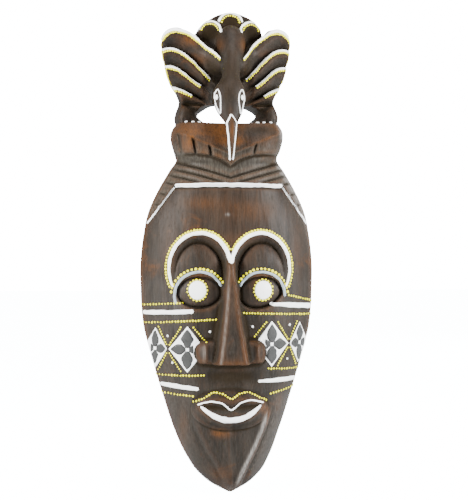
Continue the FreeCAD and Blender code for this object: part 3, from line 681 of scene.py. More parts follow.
# How strong the dust and the painted highlights and sheen are, place by place. The broad sheen's three
# numbers are its strength all over, what is added by the eyes, and what is added there on the left.
dusted = {"all": 0.12, "hair": 0.8}
sheenAndChip = {"chin": 1.2, "beside": 0.11, "nose": 0.4, "facet": 0.4, "cheek": 0.2,
            "cover": (0.015, 0.022, 0.034), "chip": 0.45}


# Dust lies in the hair, and less on the block above it
def maskDust(x, h):
    hair = smooth(0, 4, h - hairEdge(x)) * (1.0 - 0.85 * smooth(348, 366, h))
    return dusted["all"] + dusted["hair"] * hair


# Painted highlights on the sharp edges of chin, nose and nostril, painted sheen beside the chin, on the left
# cheek and by the eyes, and a paler chip in the forehead
def maskPale(x, h):
    p = sheenAndChip
    off = x - centreLine(h) - wedgeWidth(h)
    chin = p["chin"] * bump(off - 1.4, 2.1) * smooth(5, 20, h) * smooth(90, 74, h)
    beside = p["beside"] * smooth(4, 12, off) * smooth(120, 90, h) * smooth(10, 30, h)
    t = alongNose(h)
    nose = p["nose"] * bump(x + 1.2 + 2.4 * t + 9.0 * t ** 1.7, 1.3) * smooth(136, 142, h) * smooth(236, 205, h)
    facet = p["facet"] * bump(x + 27.5, 1.8) * bump(h - 149, 7.0)
    cheek = p["cheek"] * bump(x + 54, 4.5) * bump(h - 196, 20)
    everywhere, byEyes, moreLeft = p["cover"]
    cover = (everywhere + (byEyes + moreLeft * (x < 0)) * smooth(30, 44, np.abs(x))
            * smooth(232, 214, h)) * (h < 335)
    chip = p["chip"] * bump(np.hypot((x + 3.2) / 3.0, (h - 287.5) / 1.8), 0.8)
    return chin + beside + nose + facet + cheek + cover + chip


hollow = {"height": 170.0, "width": 72.0, "tall": 115.0, "depth": 30.0, "rings": 16, "gouge": 0.7}
recess = {"halfWidth": 14.0, "low": 291.0, "high": 344.0, "depth": 6.5}


def makeCarvedMask():
    bm = bmesh.new()
    bmesh.ops.create_grid(bm, x_segments=mask["columns"], y_segments=mask["rows"], size=1.0)
    u = np.array([v.co.x for v in bm.verts])
    h = seamHeight * (0.5 + 0.5 * np.array([v.co.y for v in bm.verts]))
    across = np.sin(u * math.pi / 2) * 0.4 + u * 0.6
    x = centreLine(h) + halfWidth(h) * across
    depth = maskDepth(x, h)
    for vert, px, ph, d, off in zip(bm.verts, x.tolist(), h.tolist(), depth.tolist(), across.tolist()):
        mark = chiselMark(px, ph) * (1.0 - abs(off) ** 8)
        vert.co = place(px, d + mark, ph)
    # the sides run straight back to the wall, then in to the edge of the hollow and down its bowl
    edges, verts = extrudeLoop(bm, [e for e in bm.edges if e.is_boundary])
    for vert in verts:
        vert.co.y = 0.0
    centre = place(0, 0, hollow["height"])
    rings = hollow["rings"]
    start = {}
    for step in range(rings + 1):
        edges, verts = extrudeLoop(bm, edges, start)
        s = step / rings
        for vert in verts:
            base = start[vert]
            angle = math.atan2((base.z - centre.z) / hollow["tall"], base.x / hollow["width"])
            reach = math.cos(s * math.pi / 2)
            gx = math.cos(angle) * hollow["width"] * reach
            gz = math.sin(angle) * hollow["tall"] * reach
            down = hollow["depth"] * math.sin(s * math.pi / 2) ** 0.9
            down += hollow["gouge"] * noise.noise(Vector((gx * 0.12, gz * 0.05, 4.4))) * min(1.0, 4 * s)
            vert.co = Vector((gx * mm, -max(0.0, down) * mm, centre.z + gz * mm))
    bmesh.ops.pointmerge(bm, verts=verts, merge_co=centre - Vector((0, hollow["depth"] * mm, 0)))
    cutRecess(bm)
    piece = finishPiece(bm, "carvedMask", "stained_wood", ["mask_body"], sharp=48)
    markRidges(piece.data, 8, 50, 0.45, 3.6, mask["wearAndShade"], maskDust, maskPale)
    return piece


# Extrudes an open loop of edges; keeps each new point's place on the first loop in start
def extrudeLoop(bm, edges, start=None):
    made = bmesh.ops.extrude_edge_only(bm, edges=edges)["geom"]
    newVerts = [g for g in made if isinstance(g, bmesh.types.BMVert)]
    newEdges = [g for g in made if isinstance(g, bmesh.types.BMEdge) and g.is_boundary]
    if start is not None:
        source = {}
        for vert in newVerts:
            for edge in vert.link_edges:
                other = edge.other_vert(vert)
                if edge not in newEdges and other not in newVerts:
                    near = (other.co - vert.co).length
                    if vert not in source or near < source[vert][0]:
                        source[vert] = (near, other)
        for vert in newVerts:
            other = source[vert][1]
            start[vert] = start.get(other, other.co.copy())
    return newEdges, newVerts


def cutFaces(bm, faces, co, no):
    edges = list({e for f in faces for e in f.edges})
    verts = list({v for f in faces for v in f.verts})
    bmesh.ops.bisect_plane(bm, geom=faces + edges + verts, plane_co=co, plane_no=no, dist=1e-7)


# Presses a patch of faces in, to the given y
def pressIn(bm, faces, y):
    made = bmesh.ops.extrude_face_region(bm, geom=faces)["geom"]
    for g in made:
        if isinstance(g, bmesh.types.BMVert):
            g.co.y = y
    bmesh.ops.delete(bm, geom=[f for f in faces if f.is_valid], context="FACES")


# Square pocket in the flat of the back for the hanger
def cutRecess(bm):
    low, high = chinZ + recess["low"] * mm, chinZ + recess["high"] * mm
    wide = recess["halfWidth"] * mm

    def flatBack():
        return [f for f in bm.faces if abs(f.normal.y) > 0.99 and f.calc_center_median().y > -1e-5]

    bm.normal_update()
    for co, no in (((wide, 0, 0), (1, 0, 0)), ((-wide, 0, 0), (1, 0, 0)),
                   ((0, 0, low), (0, 0, 1)), ((0, 0, high), (0, 0, 1))):
        cutFaces(bm, flatBack(), co, no)
        bm.normal_update()
    inner = []
    for face in flatBack():
        c = face.calc_center_median()
        if abs(c.x) < wide and low < c.z < high:
            inner.append(face)
    pressIn(bm, inner, -recess["depth"] * mm)


carvedMask = makeCarvedMask()
print("mask carved", len(carvedMask.data.polygons))


# ---- the bird

bird = {
    "voxel": 0.75, "gridHalf": 72.0, "cells": (180, 158), "fanCentre": 461.0, "fanRadius": 39.0,
    "legAndWing": [(53, 381.5), (54.5, 388), (52.5, 397), (49.5, 405), (53, 413), (59, 424), (63.2, 438),
                   (66.3, 454), (67.5, 466), (65, 476), (58, 482), (50, 483.5), (43, 481), (36, 476)],
    "window": [(19, 381.5), (25, 386), (31, 392), (24, 398), (13, 402.5), (0, 404)],
    "feathers": [[(11.5, 446), (20, 456), (33, 469), (46, 477.5), (54, 478.5), (61, 475), (66, 468)],
                 [(18.5, 428), (27, 436), (40, 450), (52, 458.5), (59, 459.5), (66, 457)],
                 [(28, 420.5), (34, 424.5), (44, 433.5), (52, 439.5), (58, 441), (65, 440)],
                 [(36.5, 410.5), (47, 416.5), (58, 420.5)]],
    "wingDepth": 25.0, "featherStep": 7.5, "legDepth": 27.0, "fanDepth": 14.0, "dust": 0.1,
    "toes": (24.5, 31.0, 37.5, 44.5),
    # down the bird's back, over the head and along the beak: height, depth, half width, half thickness
    "spine": [(482.5, 11, 2.0, 4.0), (480.5, 12, 8.5, 9.0), (476.5, 14, 12.8, 12.0), (471, 17, 15.0, 14.5),
              (462, 22, 14.8, 15.0), (451, 29, 13.2, 14.0), (440, 36, 10.3, 12.5), (430, 42, 9.0, 11.5),
              (422, 46, 10.6, 12.0), (414, 49, 15.2, 14.0), (407, 50, 17.0, 14.6), (400, 51, 16.0, 13.5),
              (393.5, 52.5, 14.0, 11.5), (388, 54, 11.6, 10.0), (382.5, 55.5, 8.2, 8.0), (377.5, 56, 6.0, 6.2),
              (366, 56.2, 4.9, 5.2), (353, 56, 3.6, 4.0), (342.8, 55.6, 2.5, 2.8), (339.2, 55.5, 1.2, 1.4)],
    "fanArcs": [(0.0, 488.0, 12.0, 10.0), (21.5, 479.5, 11.0, 9.5), (-21.5, 479.5, 11.0, 9.5)],
    # the spots with negative strength paint shade behind the body's top, at the wing roots, down the neck, on
    # the legs and under the head
    "wearAndShade": [(-38, 467, 13, 7, 0.8), (-30, 447, 10, 7, 0.6), (-42, 432, 9, 5, 0.4), (12, 462, 6, 10, 0.7),
             (-12, 462, 5, 9, 0.4), (0, 372, 3, 14, 0.8), (40, 455, 12, 6, 0.3), (0, 430, 14, 26, -0.5),
             (0, 489, 12, 4, -2.0), (0, 495, 10, 3, -0.8), (22, 476, 9, 10, -1.6), (-22, 476, 9, 10, -1.6),
             (18, 440, 8, 14, -0.6), (-18, 440, 8, 14, -0.6), (38, 396, 14, 12, -0.5),
             (-38, 396, 14, 12, -0.5), (0, 405, 13, 9, -0.3)],
}


def featherCurve(line):
    inner = stationCurve(line)
    first, slope = line[0], (line[1][1] - line[0][1]) / (line[1][0] - line[0][0])
    return lambda x: np.where(x < first[0], first[1] - (first[0] - x) * slope, inner(x))


featherEdges = [featherCurve(line) for line in bird["feathers"]]


def wingDepthAt(x, h):
    edges = [edge(x) for edge in featherEdges] + [np.full_like(x, 400.0)]
    top, low = edges[0], edges[1]
    for upper, lower in zip(edges[1:-1], edges[2:]):
        top = np.where(h <= upper, upper, top)
        low = np.where(h <= upper, lower, low)
    t = np.clip((top - h) / np.maximum(4.0, top - low), 0, 1)
    rounded = 1.5 * np.sin(np.clip(t / 0.85, 0, 1) * math.pi)
    fall = smooth(0.3, 0.93, t) - smooth(0.955, 1.0, t)
    return bird["wingDepth"] - 4.0 * smooth(30, 68, x) - bird["featherStep"] * fall + rounded


def birdDepth(x, h, room):
    ax = np.abs(x)
    lowest = featherEdges[3](ax) - 13.0
    wing = wingDepthAt(ax, h)
    leg = 13.0 + (bird["legDepth"] - 13.0) * np.sqrt(np.clip(1 - (1 - np.clip(room / 10.0, 0, 1)) ** 2, 0, 1))
    for toe in bird["toes"]:
        leg = leg - 1.1 * bump(ax - toe - 1.4, 0.8) * smooth(389, 384, h)
    under = smooth(lowest + 4, lowest - 5, h)
    limbs = wing + (leg - wing) * under - 3.0 * bump(h - lowest, 3.0) * smooth(20, 34, ax)
    above = smooth(0.6, 1.8, h - featherEdges[0](ax) - 1.6)
    fan = bird["fanDepth"] + 0 * h
    for arc in bird["fanArcs"]:
        fan = fan + 2.2 * smooth(1.15, 1.0, fromCentre(x, h, arc)) * smooth(arc[1] - 14, arc[1], h)
    shoulder = 16.0 * smooth(32, 10, ax) ** 1.3 * smooth(426, 440, h) * smooth(484, 466, h)
    depth = (limbs + shoulder) * (1.0 - above) + (fan + 0.35 * shoulder) * above
    pocket = smooth(27, 13, ax) * smooth(436, 420, h)
    return depth + (10.0 - depth) * pocket


# Outline of the bird as (x, height) points, the window's edge included
def birdOutline():
    right = curvePath(bird["legAndWing"], 1.5)
    end = right[-1]
    a = math.atan2(end[1] - bird["fanCentre"], end[0])
    reach = math.hypot(end[0], end[1] - bird["fanCentre"])
    fan = []
    for i in range(1, 60):
        turn = a + (math.pi - 2 * a) * i / 60
        rise = (bird["fanRadius"] - reach) * math.sin(math.pi * i / 60) ** 0.6
        fan.append(((reach + rise) * math.cos(turn), bird["fanCentre"] + (reach + rise) * math.sin(turn)))
    window = curvePath(bird["window"], 1.5)
    opening = window + [(-x, h) for x, h in window[-2::-1]]
    return right + fan + [(-x, h) for x, h in right[::-1]] + opening[::-1]


# Signed distance to a closed outline, positive inside
def insideDistance(x, h, outline):
    p = np.array(outline)
    q = np.roll(p, -1, axis=0)
    inside = np.zeros(x.shape, bool)
    best = np.full(x.shape, 1e9)
    for (x0, h0), (x1, h1) in zip(p, q):
        d2 = (x1 - x0) ** 2 + (h1 - h0) ** 2 + 1e-12
        t = np.clip(((x - x0) * (x1 - x0) + (h - h0) * (h1 - h0)) / d2, 0, 1)
        best = np.minimum(best, np.hypot(x - x0 - t * (x1 - x0), h - h0 - t * (h1 - h0)))
        crosses = ((h0 > h) != (h1 > h)) & (x < (x1 - x0) * (h - h0) / (h1 - h0 + 1e-12) + x0)
        inside ^= crosses
    return np.where(inside, best, -best)


def makeBirdBlock(bm):
    wide, low, high = bird["gridHalf"], seamHeight, topHeight + 4
    cellsX, cellsH = bird["cells"]
    made = bmesh.ops.create_grid(bm, x_segments=cellsX, y_segments=cellsH, size=1.0)["verts"]
    x = np.array([v.co.x for v in made]) * wide
    h = low + (high - low) * (0.5 + 0.5 * np.array([v.co.y for v in made]))
    outline = [(px, ph if ph > seamHeight + 0.3 else low - 16) for px, ph in birdOutline()]
    room = insideDistance(x, h, outline)
    depth = np.minimum(birdDepth(x, h, room), 1.5 + room * 8.0)
    depth = np.where(room < -0.6, -6.0, depth)
    for vert, px, ph, d in zip(made, x.tolist(), h.tolist(), depth.tolist()):
        mark = 0.4 * noise.noise(Vector((px * 0.16, ph * 0.16, 1.3))) if d > 5 else 0.0
        vert.co = place(px, d + mark, ph)
    back = bmesh.ops.extrude_face_region(bm, geom=[f for f in bm.faces], use_keep_orig=True)["geom"]
    for g in back:
        if isinstance(g, bmesh.types.BMVert):
            g.co.y = 8 * mm


# A rod of changing width and thickness down a list of stations, closed at both ends
def addSpine(bm, stations, around=40, steps=90):
    at = np.linspace(0, 1, len(stations))
    height, depth, wide, thick = [stationCurve(list(zip(at, [st[i] for st in stations]))) for i in range(4)]
    made = bmesh.ops.create_grid(bm, x_segments=steps, y_segments=around, size=1.0)["verts"]
    for vert in made:
        s, turn = 0.5 + 0.5 * vert.co.x, math.pi * vert.co.y
        centre = place(0, float(depth(s)), float(height(s)))
        a, b = max(0.0, s - 0.02), min(1.0, s + 0.02)
        ahead = place(0, float(depth(b)), float(height(b))) - place(0, float(depth(a)), float(height(a)))
        up = Vector((1, 0, 0)).cross(ahead).normalized()
        c, q = math.cos(turn), math.sin(turn)
        vert.co = centre + Vector((c * float(wide(s)) * mm, 0, 0)) + up * q * float(thick(s)) * mm
    bmesh.ops.remove_doubles(bm, verts=made, dist=1e-6)
    bmesh.ops.holes_fill(bm, edges=[e for e in bm.edges if e.is_boundary], sides=0)
    bmesh.ops.recalc_face_normals(bm, faces=bm.faces)


def soften(bm, verts, factor, turns):
    for turn in range(turns):
        bmesh.ops.smooth_vert(bm, verts=verts, factor=factor, use_axis_x=True, use_axis_y=True,
                              use_axis_z=True)


def birdDust(x, h):
    return np.full_like(x, bird["dust"])


def birdPale(x, h):
    return np.zeros_like(x)


def makeCarvedBird():
    bm = bmesh.new()
    addSpine(bm, bird["spine"])
    spine = bpy.data.meshes.new("birdSpine")
    bm.to_mesh(spine)
    bm.clear()
    makeBirdBlock(bm)
    bmesh.ops.recalc_face_normals(bm, faces=bm.faces)
    bm.from_mesh(spine)
    bpy.data.meshes.remove(spine)
    whole = bpy.data.meshes.new("birdBlank")
    bm.to_mesh(whole)
    bm.free()
    blank = addObject("birdBlank", whole)
    remesh = blank.modifiers.new("join", "REMESH")
    remesh.mode = "VOXEL"
    remesh.voxel_size = bird["voxel"] * mm
    graph = bpy.context.evaluated_depsgraph_get()
    joined = bpy.data.meshes.new_from_object(blank.evaluated_get(graph))
    bpy.data.objects.remove(blank)
    bm = bmesh.new()
    bm.from_mesh(joined)
    soften(bm, bm.verts, 0.4, 2)
    # the body runs into the wings, and the back of each wing is cut in behind its edge
    roots = []
    for vert in bm.verts:
        x, depth, h = abs(vert.co.x) / mm, -vert.co.y / mm, (vert.co.z - chinZ) / mm
        if 5 < x < 26 and 424 < h < 480 and depth > 15:
            roots.append(vert)
        if h > 404 and x > 34:
            inward = 3.4 * min(1.0, (x - 34) / 16) * min(1.0, (h - 404) / 10) * max(0.0, 1 - depth / 20)
            vert.co.x -= math.copysign(inward * mm, vert.co.x)
    soften(bm, roots, 0.5, 36)
    geom = bm.verts[:] + bm.edges[:] + bm.faces[:]
    bmesh.ops.bisect_plane(bm, geom=geom, plane_co=(0, 0, 0), plane_no=(0, 1, 0), clear_outer=True, dist=1e-7)
    bmesh.ops.holes_fill(bm, edges=[e for e in bm.edges if e.is_boundary], sides=0)
    for vert in bm.verts:
        p = vert.co
        if p.y < -12 * mm:
            mark = noise.noise(Vector((p.x * 130, p.y * 130, p.z * 90)))
            vert.co = p + vert.normal * mark * 0.3 * mm
    piece = finishPiece(bm, "carvedBird", "stained_wood", ["bird_crest"], sharp=60)
    markRidges(piece.data, 8, 40, 0.45, 3.2, bird["wearAndShade"], birdDust, birdPale)
    return piece


carvedBird = makeCarvedBird()
print("bird carved", len(carvedBird.data.polygons))
woodTree = castTree(carvedMask, carvedBird)


# ---- relief paint

brush = {"sunk": 0.9, "wobble": 0.18, "rowsAround": 12, "dotRows": (8, 6),
         "dotSizes": (0.82, 1.12), "dotStray": 0.18, "dotLift": 0.62, "dotOut": 0.15}


# A raised stroke along (x, height) points, rounded at its ends
def layStroke(bm, path, half, thick, taper=1.0, plump=0.8):
    widths = half if isinstance(half, list) else [half] * len(path)
    steps = len(path) - 1
    around = brush["rowsAround"]
    made = bmesh.ops.create_grid(bm, x_segments=steps, y_segments=around, size=1.0)["verts"]
    lengths = [0.0]
    for a, b in zip(path, path[1:]):
        lengths.append(lengths[-1] + math.dist(a, b))
    total = lengths[-1]
    seed = random.random() * 90
    for vert in made:
        i = int(round((0.5 + 0.5 * vert.co.x) * steps))
        turn = math.pi * vert.co.y
        (ax, ah), (bx, bh) = path[max(0, i - 1)], path[min(steps, i + 1)]
        long = math.dist((ax, ah), (bx, bh)) or 1.0
        nx, nh = (bh - ah) / long, (ax - bx) / long
        end = min(lengths[i], total - lengths[i])
        fade = math.sqrt(max(0.0, 1.0 - (1.0 - min(1.0, end / (widths[i] * 1.3 * taper + 0.01))) ** 2))
        drift = noise.noise(Vector((lengths[i] * 0.22, seed, 0.5)))
        side = noise.noise(Vector((lengths[i] * 0.16, seed, 7.5)))
        w = widths[i] * fade * (1 + brush["wobble"] * drift)
        off = w * math.cos(turn) + side * 0.35
        x, h = path[i][0] + nx * off, path[i][1] + nh * off
        hit, normal = onSurface(woodTree, x, h)
        s = math.sin(turn)
        if s > 0:
            rise = thick * (0.8 + 0.35 * drift) * abs(s) ** plump * fade
        else:
            rise = -brush["sunk"] * abs(s) ** 0.5 * fade
        vert.co = hit + normal * rise * mm


# A low round bead
def layDot(bm, x, h, radius):
    r = radius * random.uniform(*brush["dotSizes"])
    x += random.uniform(-brush["dotStray"], brush["dotStray"])
    h += random.uniform(-brush["dotStray"], brush["dotStray"])
    hit, normal = onSurface(woodTree, x, h)
    turn = normal.to_track_quat("Z", "Y").to_matrix().to_4x4()
    grow = Matrix.Diagonal((r * mm, r * mm, r * brush["dotLift"] * mm, 1.0))
    across, up = brush["dotRows"]
    bmesh.ops.create_uvsphere(bm, u_segments=across, v_segments=up, radius=1.0,
                              matrix=Matrix.Translation(hit + normal * brush["dotOut"] * mm) @ turn @ grow)


def layDots(bm, path, radius, pitch):
    for x, h in spacedAlong(path, pitch):
        layDot(bm, x, h, radius)


# A round or oval patch that follows the carving
def layPatch(bm, x, h, rx, rh, thick, fine=28):
    made = bmesh.ops.create_uvsphere(bm, u_segments=fine, v_segments=fine // 2, radius=1.0)["verts"]
    seed = random.random() * 50
    for vert in made:
        c = vert.co.copy()
        ripple = 1 + 0.035 * noise.noise(Vector((c.x * 1.6, c.y * 1.6, seed)))
        hit, normal = onSurface(woodTree, x + c.x * rx * ripple, h + c.y * rh * ripple)
        rise = thick * c.z ** 0.6 if c.z > 0 else -brush["sunk"] * abs(c.z) ** 0.6
        vert.co = hit + normal * rise * mm


def finishPaint(bm, name, slotName, nodes):
    return finishPiece(bm, name, slotName, nodes, weld=2e-6)


def rimX(side, height, back=0.4):
    return side * (float(halfWidth(height)) - back)


def grown(ellipse, by):
    return ellipse[0], ellipse[1], ellipse[2] + by, ellipse[3] + by


hairlinePaint = {"half": 1.9, "sideHalf": 0.9, "thick": 0.8}


def makeHairlinePaint():
    bm = bmesh.new()
    (x0, h0), (x1, h1) = mask["hairline"]
    layStroke(bm, straightPath([(-x1 - 0.5, h1 - 0.5), (x1 + 0.5, h1 - 0.5)]), hairlinePaint["half"],
              hairlinePaint["thick"])
    for side in sides:
        path = straightPath([(side * x1, h1 - 1.5), (side * (x0 - 2.5), h0 + 3.0)])
        layStroke(bm, path, hairlinePaint["sideHalf"], hairlinePaint["thick"])
    finishPaint(bm, "hairlinePaint", "white_paint", ["hairline_paint"])


browPaint = {"from": -32, "to": 172, "half": (1.3, 2.1), "thick": 0.9, "dotGap": 3.0, "dot": 1.45,
             "pitch": 3.1, "dotFrom": -28, "dotTo": 150}


def makeBrowPaint():
    bm, dots = bmesh.new(), bmesh.new()
    b = browPaint
    for side in sides:
        path = arcPath(mask["brow"], b["from"], b["to"], side)
        widths = [b["half"][0] + (b["half"][1] - b["half"][0]) * min(1.0, 1.7 * i / len(path))
                  for i in range(len(path))]
        layStroke(bm, path, widths, b["thick"])
        row = arcPath(grown(mask["brow"], b["dotGap"]), b["dotFrom"], b["dotTo"], side)
        layDots(dots, row, b["dot"], b["pitch"])
    finishPaint(bm, "browPaint", "white_paint", ["brow_line_paint"])
    finishPaint(dots, "browBeads", "yellow_paint", ["brow_dots"])


lidPaint = {"from": {-1: -22, 1: -4}, "to": 158, "half": 1.4, "thick": 0.75, "dotGap": 3.1, "dot": 1.6,
            "pitch": 4.1, "dotFrom": 8, "dotTo": 150}


def makeLidPaint():
    bm, dots = bmesh.new(), bmesh.new()
    b = lidPaint
    for side in sides:
        layStroke(bm, arcPath(mask["lid"], b["from"][side], b["to"], side), b["half"], b["thick"])
        row = arcPath(grown(mask["lid"], b["dotGap"]), b["dotFrom"], b["dotTo"], side)
        layDots(dots, row, b["dot"], b["pitch"])
    finishPaint(bm, "lidPaint", "pale_grey_paint", ["eyelid_line_paint"])
    finishPaint(dots, "lidBeads", "yellow_paint", ["eyelid_dots"])


eyeDisc = {"at": (33.5, 211.0), "rx": 8.8, "rh": 9.6, "thick": 1.0, "beads": 19, "beadRing": 1.0,
           "bead": 1.25}


def makeEyeDiscs():
    bm, dots = bmesh.new(), bmesh.new()
    e = eyeDisc
    x, h = e["at"]
    for side in sides:
        layPatch(bm, side * x, h, e["rx"], e["rh"], e["thick"])
        for i in range(e["beads"]):
            turn = 2 * math.pi * i / e["beads"]
            layDot(dots, side * x + (e["rx"] + e["beadRing"]) * math.cos(turn),
                   h + (e["rh"] + e["beadRing"]) * math.sin(turn), e["bead"])
    finishPaint(bm, "eyeDiscs", "white_paint", ["eye_disc_paint"])
    finishPaint(dots, "eyeRingBeads", "yellow_paint", ["eye_ring_dots"])


# Each row: side, inner offset, inner height, outer height; a bar also has its half width at both ends
cheekPaint = {
    "bars": [(-1, 37, 189.5, 187.5, 2.3, 2.2), (1, 40, 197.0, 193.5, 1.5, 2.6),
             (-1, 32, 111.0, 114.0, 2.0, 2.2), (1, 28, 118.5, 118.5, 1.3, 2.4)],
    "rows": [(-1, 48, 198, 195.5), (1, 61, 205.5, 199), (-1, 15, 181.5, 177), (1, 13, 188, 185),
             (-1, 27, 125, 123.5), (1, 39, 131, 129), (-1, 38, 103.5, 105), (1, 42, 105, 110)],
    "thick": 0.8, "dot": 1.2, "pitch": 2.9,
}


def makeCheekBars():
    bm, dots = bmesh.new(), bmesh.new()
    c = cheekPaint
    for side, inner, hIn, hOut, wIn, wOut in c["bars"]:
        path = straightPath([(side * inner, hIn), (rimX(side, hOut), hOut)])
        count = len(path) - 1
        widths = [wIn + (wOut - wIn) * min(1.0, 2.0 * i / count) for i in range(count + 1)]
        layStroke(bm, path, widths, c["thick"])
    for side, inner, hIn, hOut in c["rows"]:
        layDots(dots, straightPath([(side * inner, hIn), (rimX(side, hOut), hOut)]), c["dot"], c["pitch"])
    finishPaint(bm, "cheekBars", "white_paint", ["cheek_bar_paint"])
    finishPaint(dots, "cheekBeads", "yellow_paint", ["cheek_dots"])


diamond = {"wide": 18.5, "tall": 23.5, "whole": [(-43.5, 151.0), (42.5, 156.0)], "gap": 31.5, "cells": 26,
           "outer": (0.62, 0.92), "thick": 0.55, "noseGap": 1.2,
           "petalLong": (20.5, 16.5), "petalWide": (6.0, 5.6), "petalRise": 1.3, "petalStart": 1.2,
           "petalSteps": 24, "bead": 1.0, "beadPitch": 2.6}


def nostrilEdge(h):
    x, height, wide, tall = mask["nostril"]
    if abs(h - height) >= tall:
        return 0.0
    return x + diamond["noseGap"] + wide * math.sqrt(max(0.0, 1 - ((h - height) / tall) ** 2))


# Centre, then the width and height next to a whole one: the outer pair is cut by the rim
def diamondCentres():
    whole = diamond["whole"]
    return ([(x, h, 1.0, 1.0) for x, h in whole]
            + [(x + math.copysign(diamond["gap"], x), h, *diamond["outer"]) for x, h in whole])


def clampAcross(x, h):
    out = math.copysign(1, x)
    return out * min(max(out * x, nostrilEdge(h)), float(halfWidth(h)) - 0.5)


def makeDiamonds():
    bm, petals = bmesh.new(), bmesh.new()
    d = diamond
    for cx, ch, across, up in diamondCentres():
        made = bmesh.ops.create_grid(bm, x_segments=d["cells"], y_segments=d["cells"], size=1.0)["verts"]
        faces = list({f for v in made for f in v.link_faces})
        where = {}
        for vert in made:
            a, b = vert.co.x, vert.co.y
            h = ch + (a + b) / 2 * d["tall"] * up
            x = clampAcross(cx + (a - b) / 2 * d["wide"] * across, h)
            hit, normal = onSurface(woodTree, x, h)
            edge = 1 - max(abs(a), abs(b)) ** 14
            where[vert] = (hit, normal)
            vert.co = hit + normal * d["thick"] * (0.35 + 0.65 * edge) * mm
        bmesh.ops.extrude_face_region(bm, geom=faces, use_keep_orig=True)["geom"]
        for vert in made:
            hit, normal = where[vert]
            if vert.is_valid:
                vert.co = hit - normal * brush["sunk"] * mm
        layPetals(petals, cx, ch, across, up)
    finishPaint(bm, "cheekDiamonds", "white_paint", ["cheek_diamond_paint"])
    finishPaint(petals, "diamondPetals", "grey_paint", ["diamond_petal_paint"])


def layPetals(bm, cx, ch, across, up):
    d = diamond
    tall, wide = d["petalLong"][0] * up, d["petalLong"][1] * across
    for dx, dh, reach in ((0, 1, tall), (0, -1, tall), (1, 0, wide), (-1, 0, wide)):
        fullest = d["petalWide"][0] * across if dh else d["petalWide"][1] * up
        path, widths = [], []
        for i in range(d["petalSteps"] + 1):
            along = d["petalStart"] + (reach - d["petalStart"]) * i / d["petalSteps"]
            x, h = cx + dx * along, ch + dh * along
            room = min(abs(x) - nostrilEdge(h), float(halfWidth(h)) - 1.0 - abs(x))
            half = 0.2 + fullest * math.sin(math.pi * along / reach)
            if dh:
                half = min(half, room)
            if room > 0.5:
                path.append((x, h))
                widths.append(half)
        if len(path) > 6:
            layStroke(bm, path, widths, d["petalRise"], taper=0.12, plump=0.15)


def makeDiamondBeads():
    bm = bmesh.new()
    d = diamond
    for cx, ch in d["whole"]:
        out = math.copysign(1, cx)
        between = cx + out * (d["wide"] + 0.8)
        rows = []
        for up in sides:
            far, near = ch + up * d["tall"] * 0.95, ch + up * 4.5
            rows.append([(between - out * 1.8, near), (cx + out * 6.5, far)])
            rows.append([(between + out * 1.2, near), (between + out * 9.0, far)])
        rows.append([(cx - out * 6.0, ch + d["tall"] * 0.95), (cx - out * 18.5, ch + 8)])
        for row in rows:
            layDots(bm, row, d["bead"], d["beadPitch"])
    finishPaint(bm, "diamondBeads", "yellow_paint", ["diamond_dots"])


lips = {
    "dots": [(-37, 98), (-27, 102.5), (-17, 108), (-8, 106.5), (0, 102), (8, 106.5), (17, 108),
             (27, 103.5), (37, 99)],
    "upper": [(-34, 95.5), (-20, 99.5), (-10, 98), (0, 91), (10, 98.5), (20, 100.5), (34, 97)],
    "lower": [(-31, 94), (-26, 90.5), (-15, 84), (0, 81), (15, 84), (26, 91), (31, 95)],
    "upperHalf": 0.8, "upperThick": 0.6, "lowerEnd": 0.6, "lowerHalf": 2.4, "lowerThick": 0.9,
    "dot": 1.2, "pitch": 2.8,
}


def makeLipPaint():
    bm, dots = bmesh.new(), bmesh.new()
    layStroke(bm, curvePath(lips["upper"]), lips["upperHalf"], lips["upperThick"])
    smile = curvePath(lips["lower"])
    count = len(smile) - 1
    widths = [lips["lowerEnd"] + lips["lowerHalf"] * math.sin(math.pi * i / count) ** 0.6
              for i in range(count + 1)]
    layStroke(bm, smile, widths, lips["lowerThick"])
    layDots(dots, curvePath(lips["dots"]), lips["dot"], lips["pitch"])
    finishPaint(bm, "lipPaint", "white_paint", ["lip_line_paint"])
    finishPaint(dots, "lipBeads", "yellow_paint", ["lip_dots"])


cheekSpecks = {"at": [(-63, 164.5), (-21, 169.5), (-58, 137), (22, 174), (62, 175), (60, 140)], "radius": 1.5}


def makeCheekSpecks():
    bm = bmesh.new()
    for x, h in cheekSpecks["at"]:
        layDot(bm, x, h, cheekSpecks["radius"])
    finishPaint(bm, "cheekSpecks", "white_paint", ["cheek_speck_paint"])


makeHairlinePaint()
makeBrowPaint()
makeLidPaint()
makeEyeDiscs()
makeCheekBars()
makeDiamonds()
makeDiamondBeads()
makeLipPaint()
makeCheekSpecks()
print("face painted")

wingPaint = {"half": 1.35, "thick": 0.9, "bead": 1.25, "beadDrop": 2.9, "pitch": 2.3, "edgeHalf": 0.9,
             "edgeThick": 0.6,
             "edge": [(65.8, 466), (64.8, 454), (61.8, 439), (57.4, 425), (51.6, 414)]}


def makeWingPaint():
    lines, dots, edge = bmesh.new(), bmesh.new(), bmesh.new()
    w = wingPaint
    for side in sides:
        for feather in bird["feathers"]:
            path = curvePath(feather)
            count = len(path) - 1
            widths = [w["half"] * (0.55 + 0.75 * min(1.0, 1.6 * i / count)) for i in range(count + 1)]
            layStroke(lines, mirrored(path, side), widths, w["thick"])
            layDots(dots, [(side * (x - 0.8), h - w["beadDrop"]) for x, h in path[3:]], w["bead"], w["pitch"])
        layStroke(edge, mirrored(curvePath(w["edge"]), side), w["edgeHalf"], w["edgeThick"])
    return [finishPaint(lines, "wingPaint", "white_paint", ["wing_line_paint"]),
            finishPaint(dots, "wingBeads", "yellow_paint", ["wing_dots"]),
            finishPaint(edge, "wingEdgePaint", "yellow_paint", ["wing_edge_paint"])]


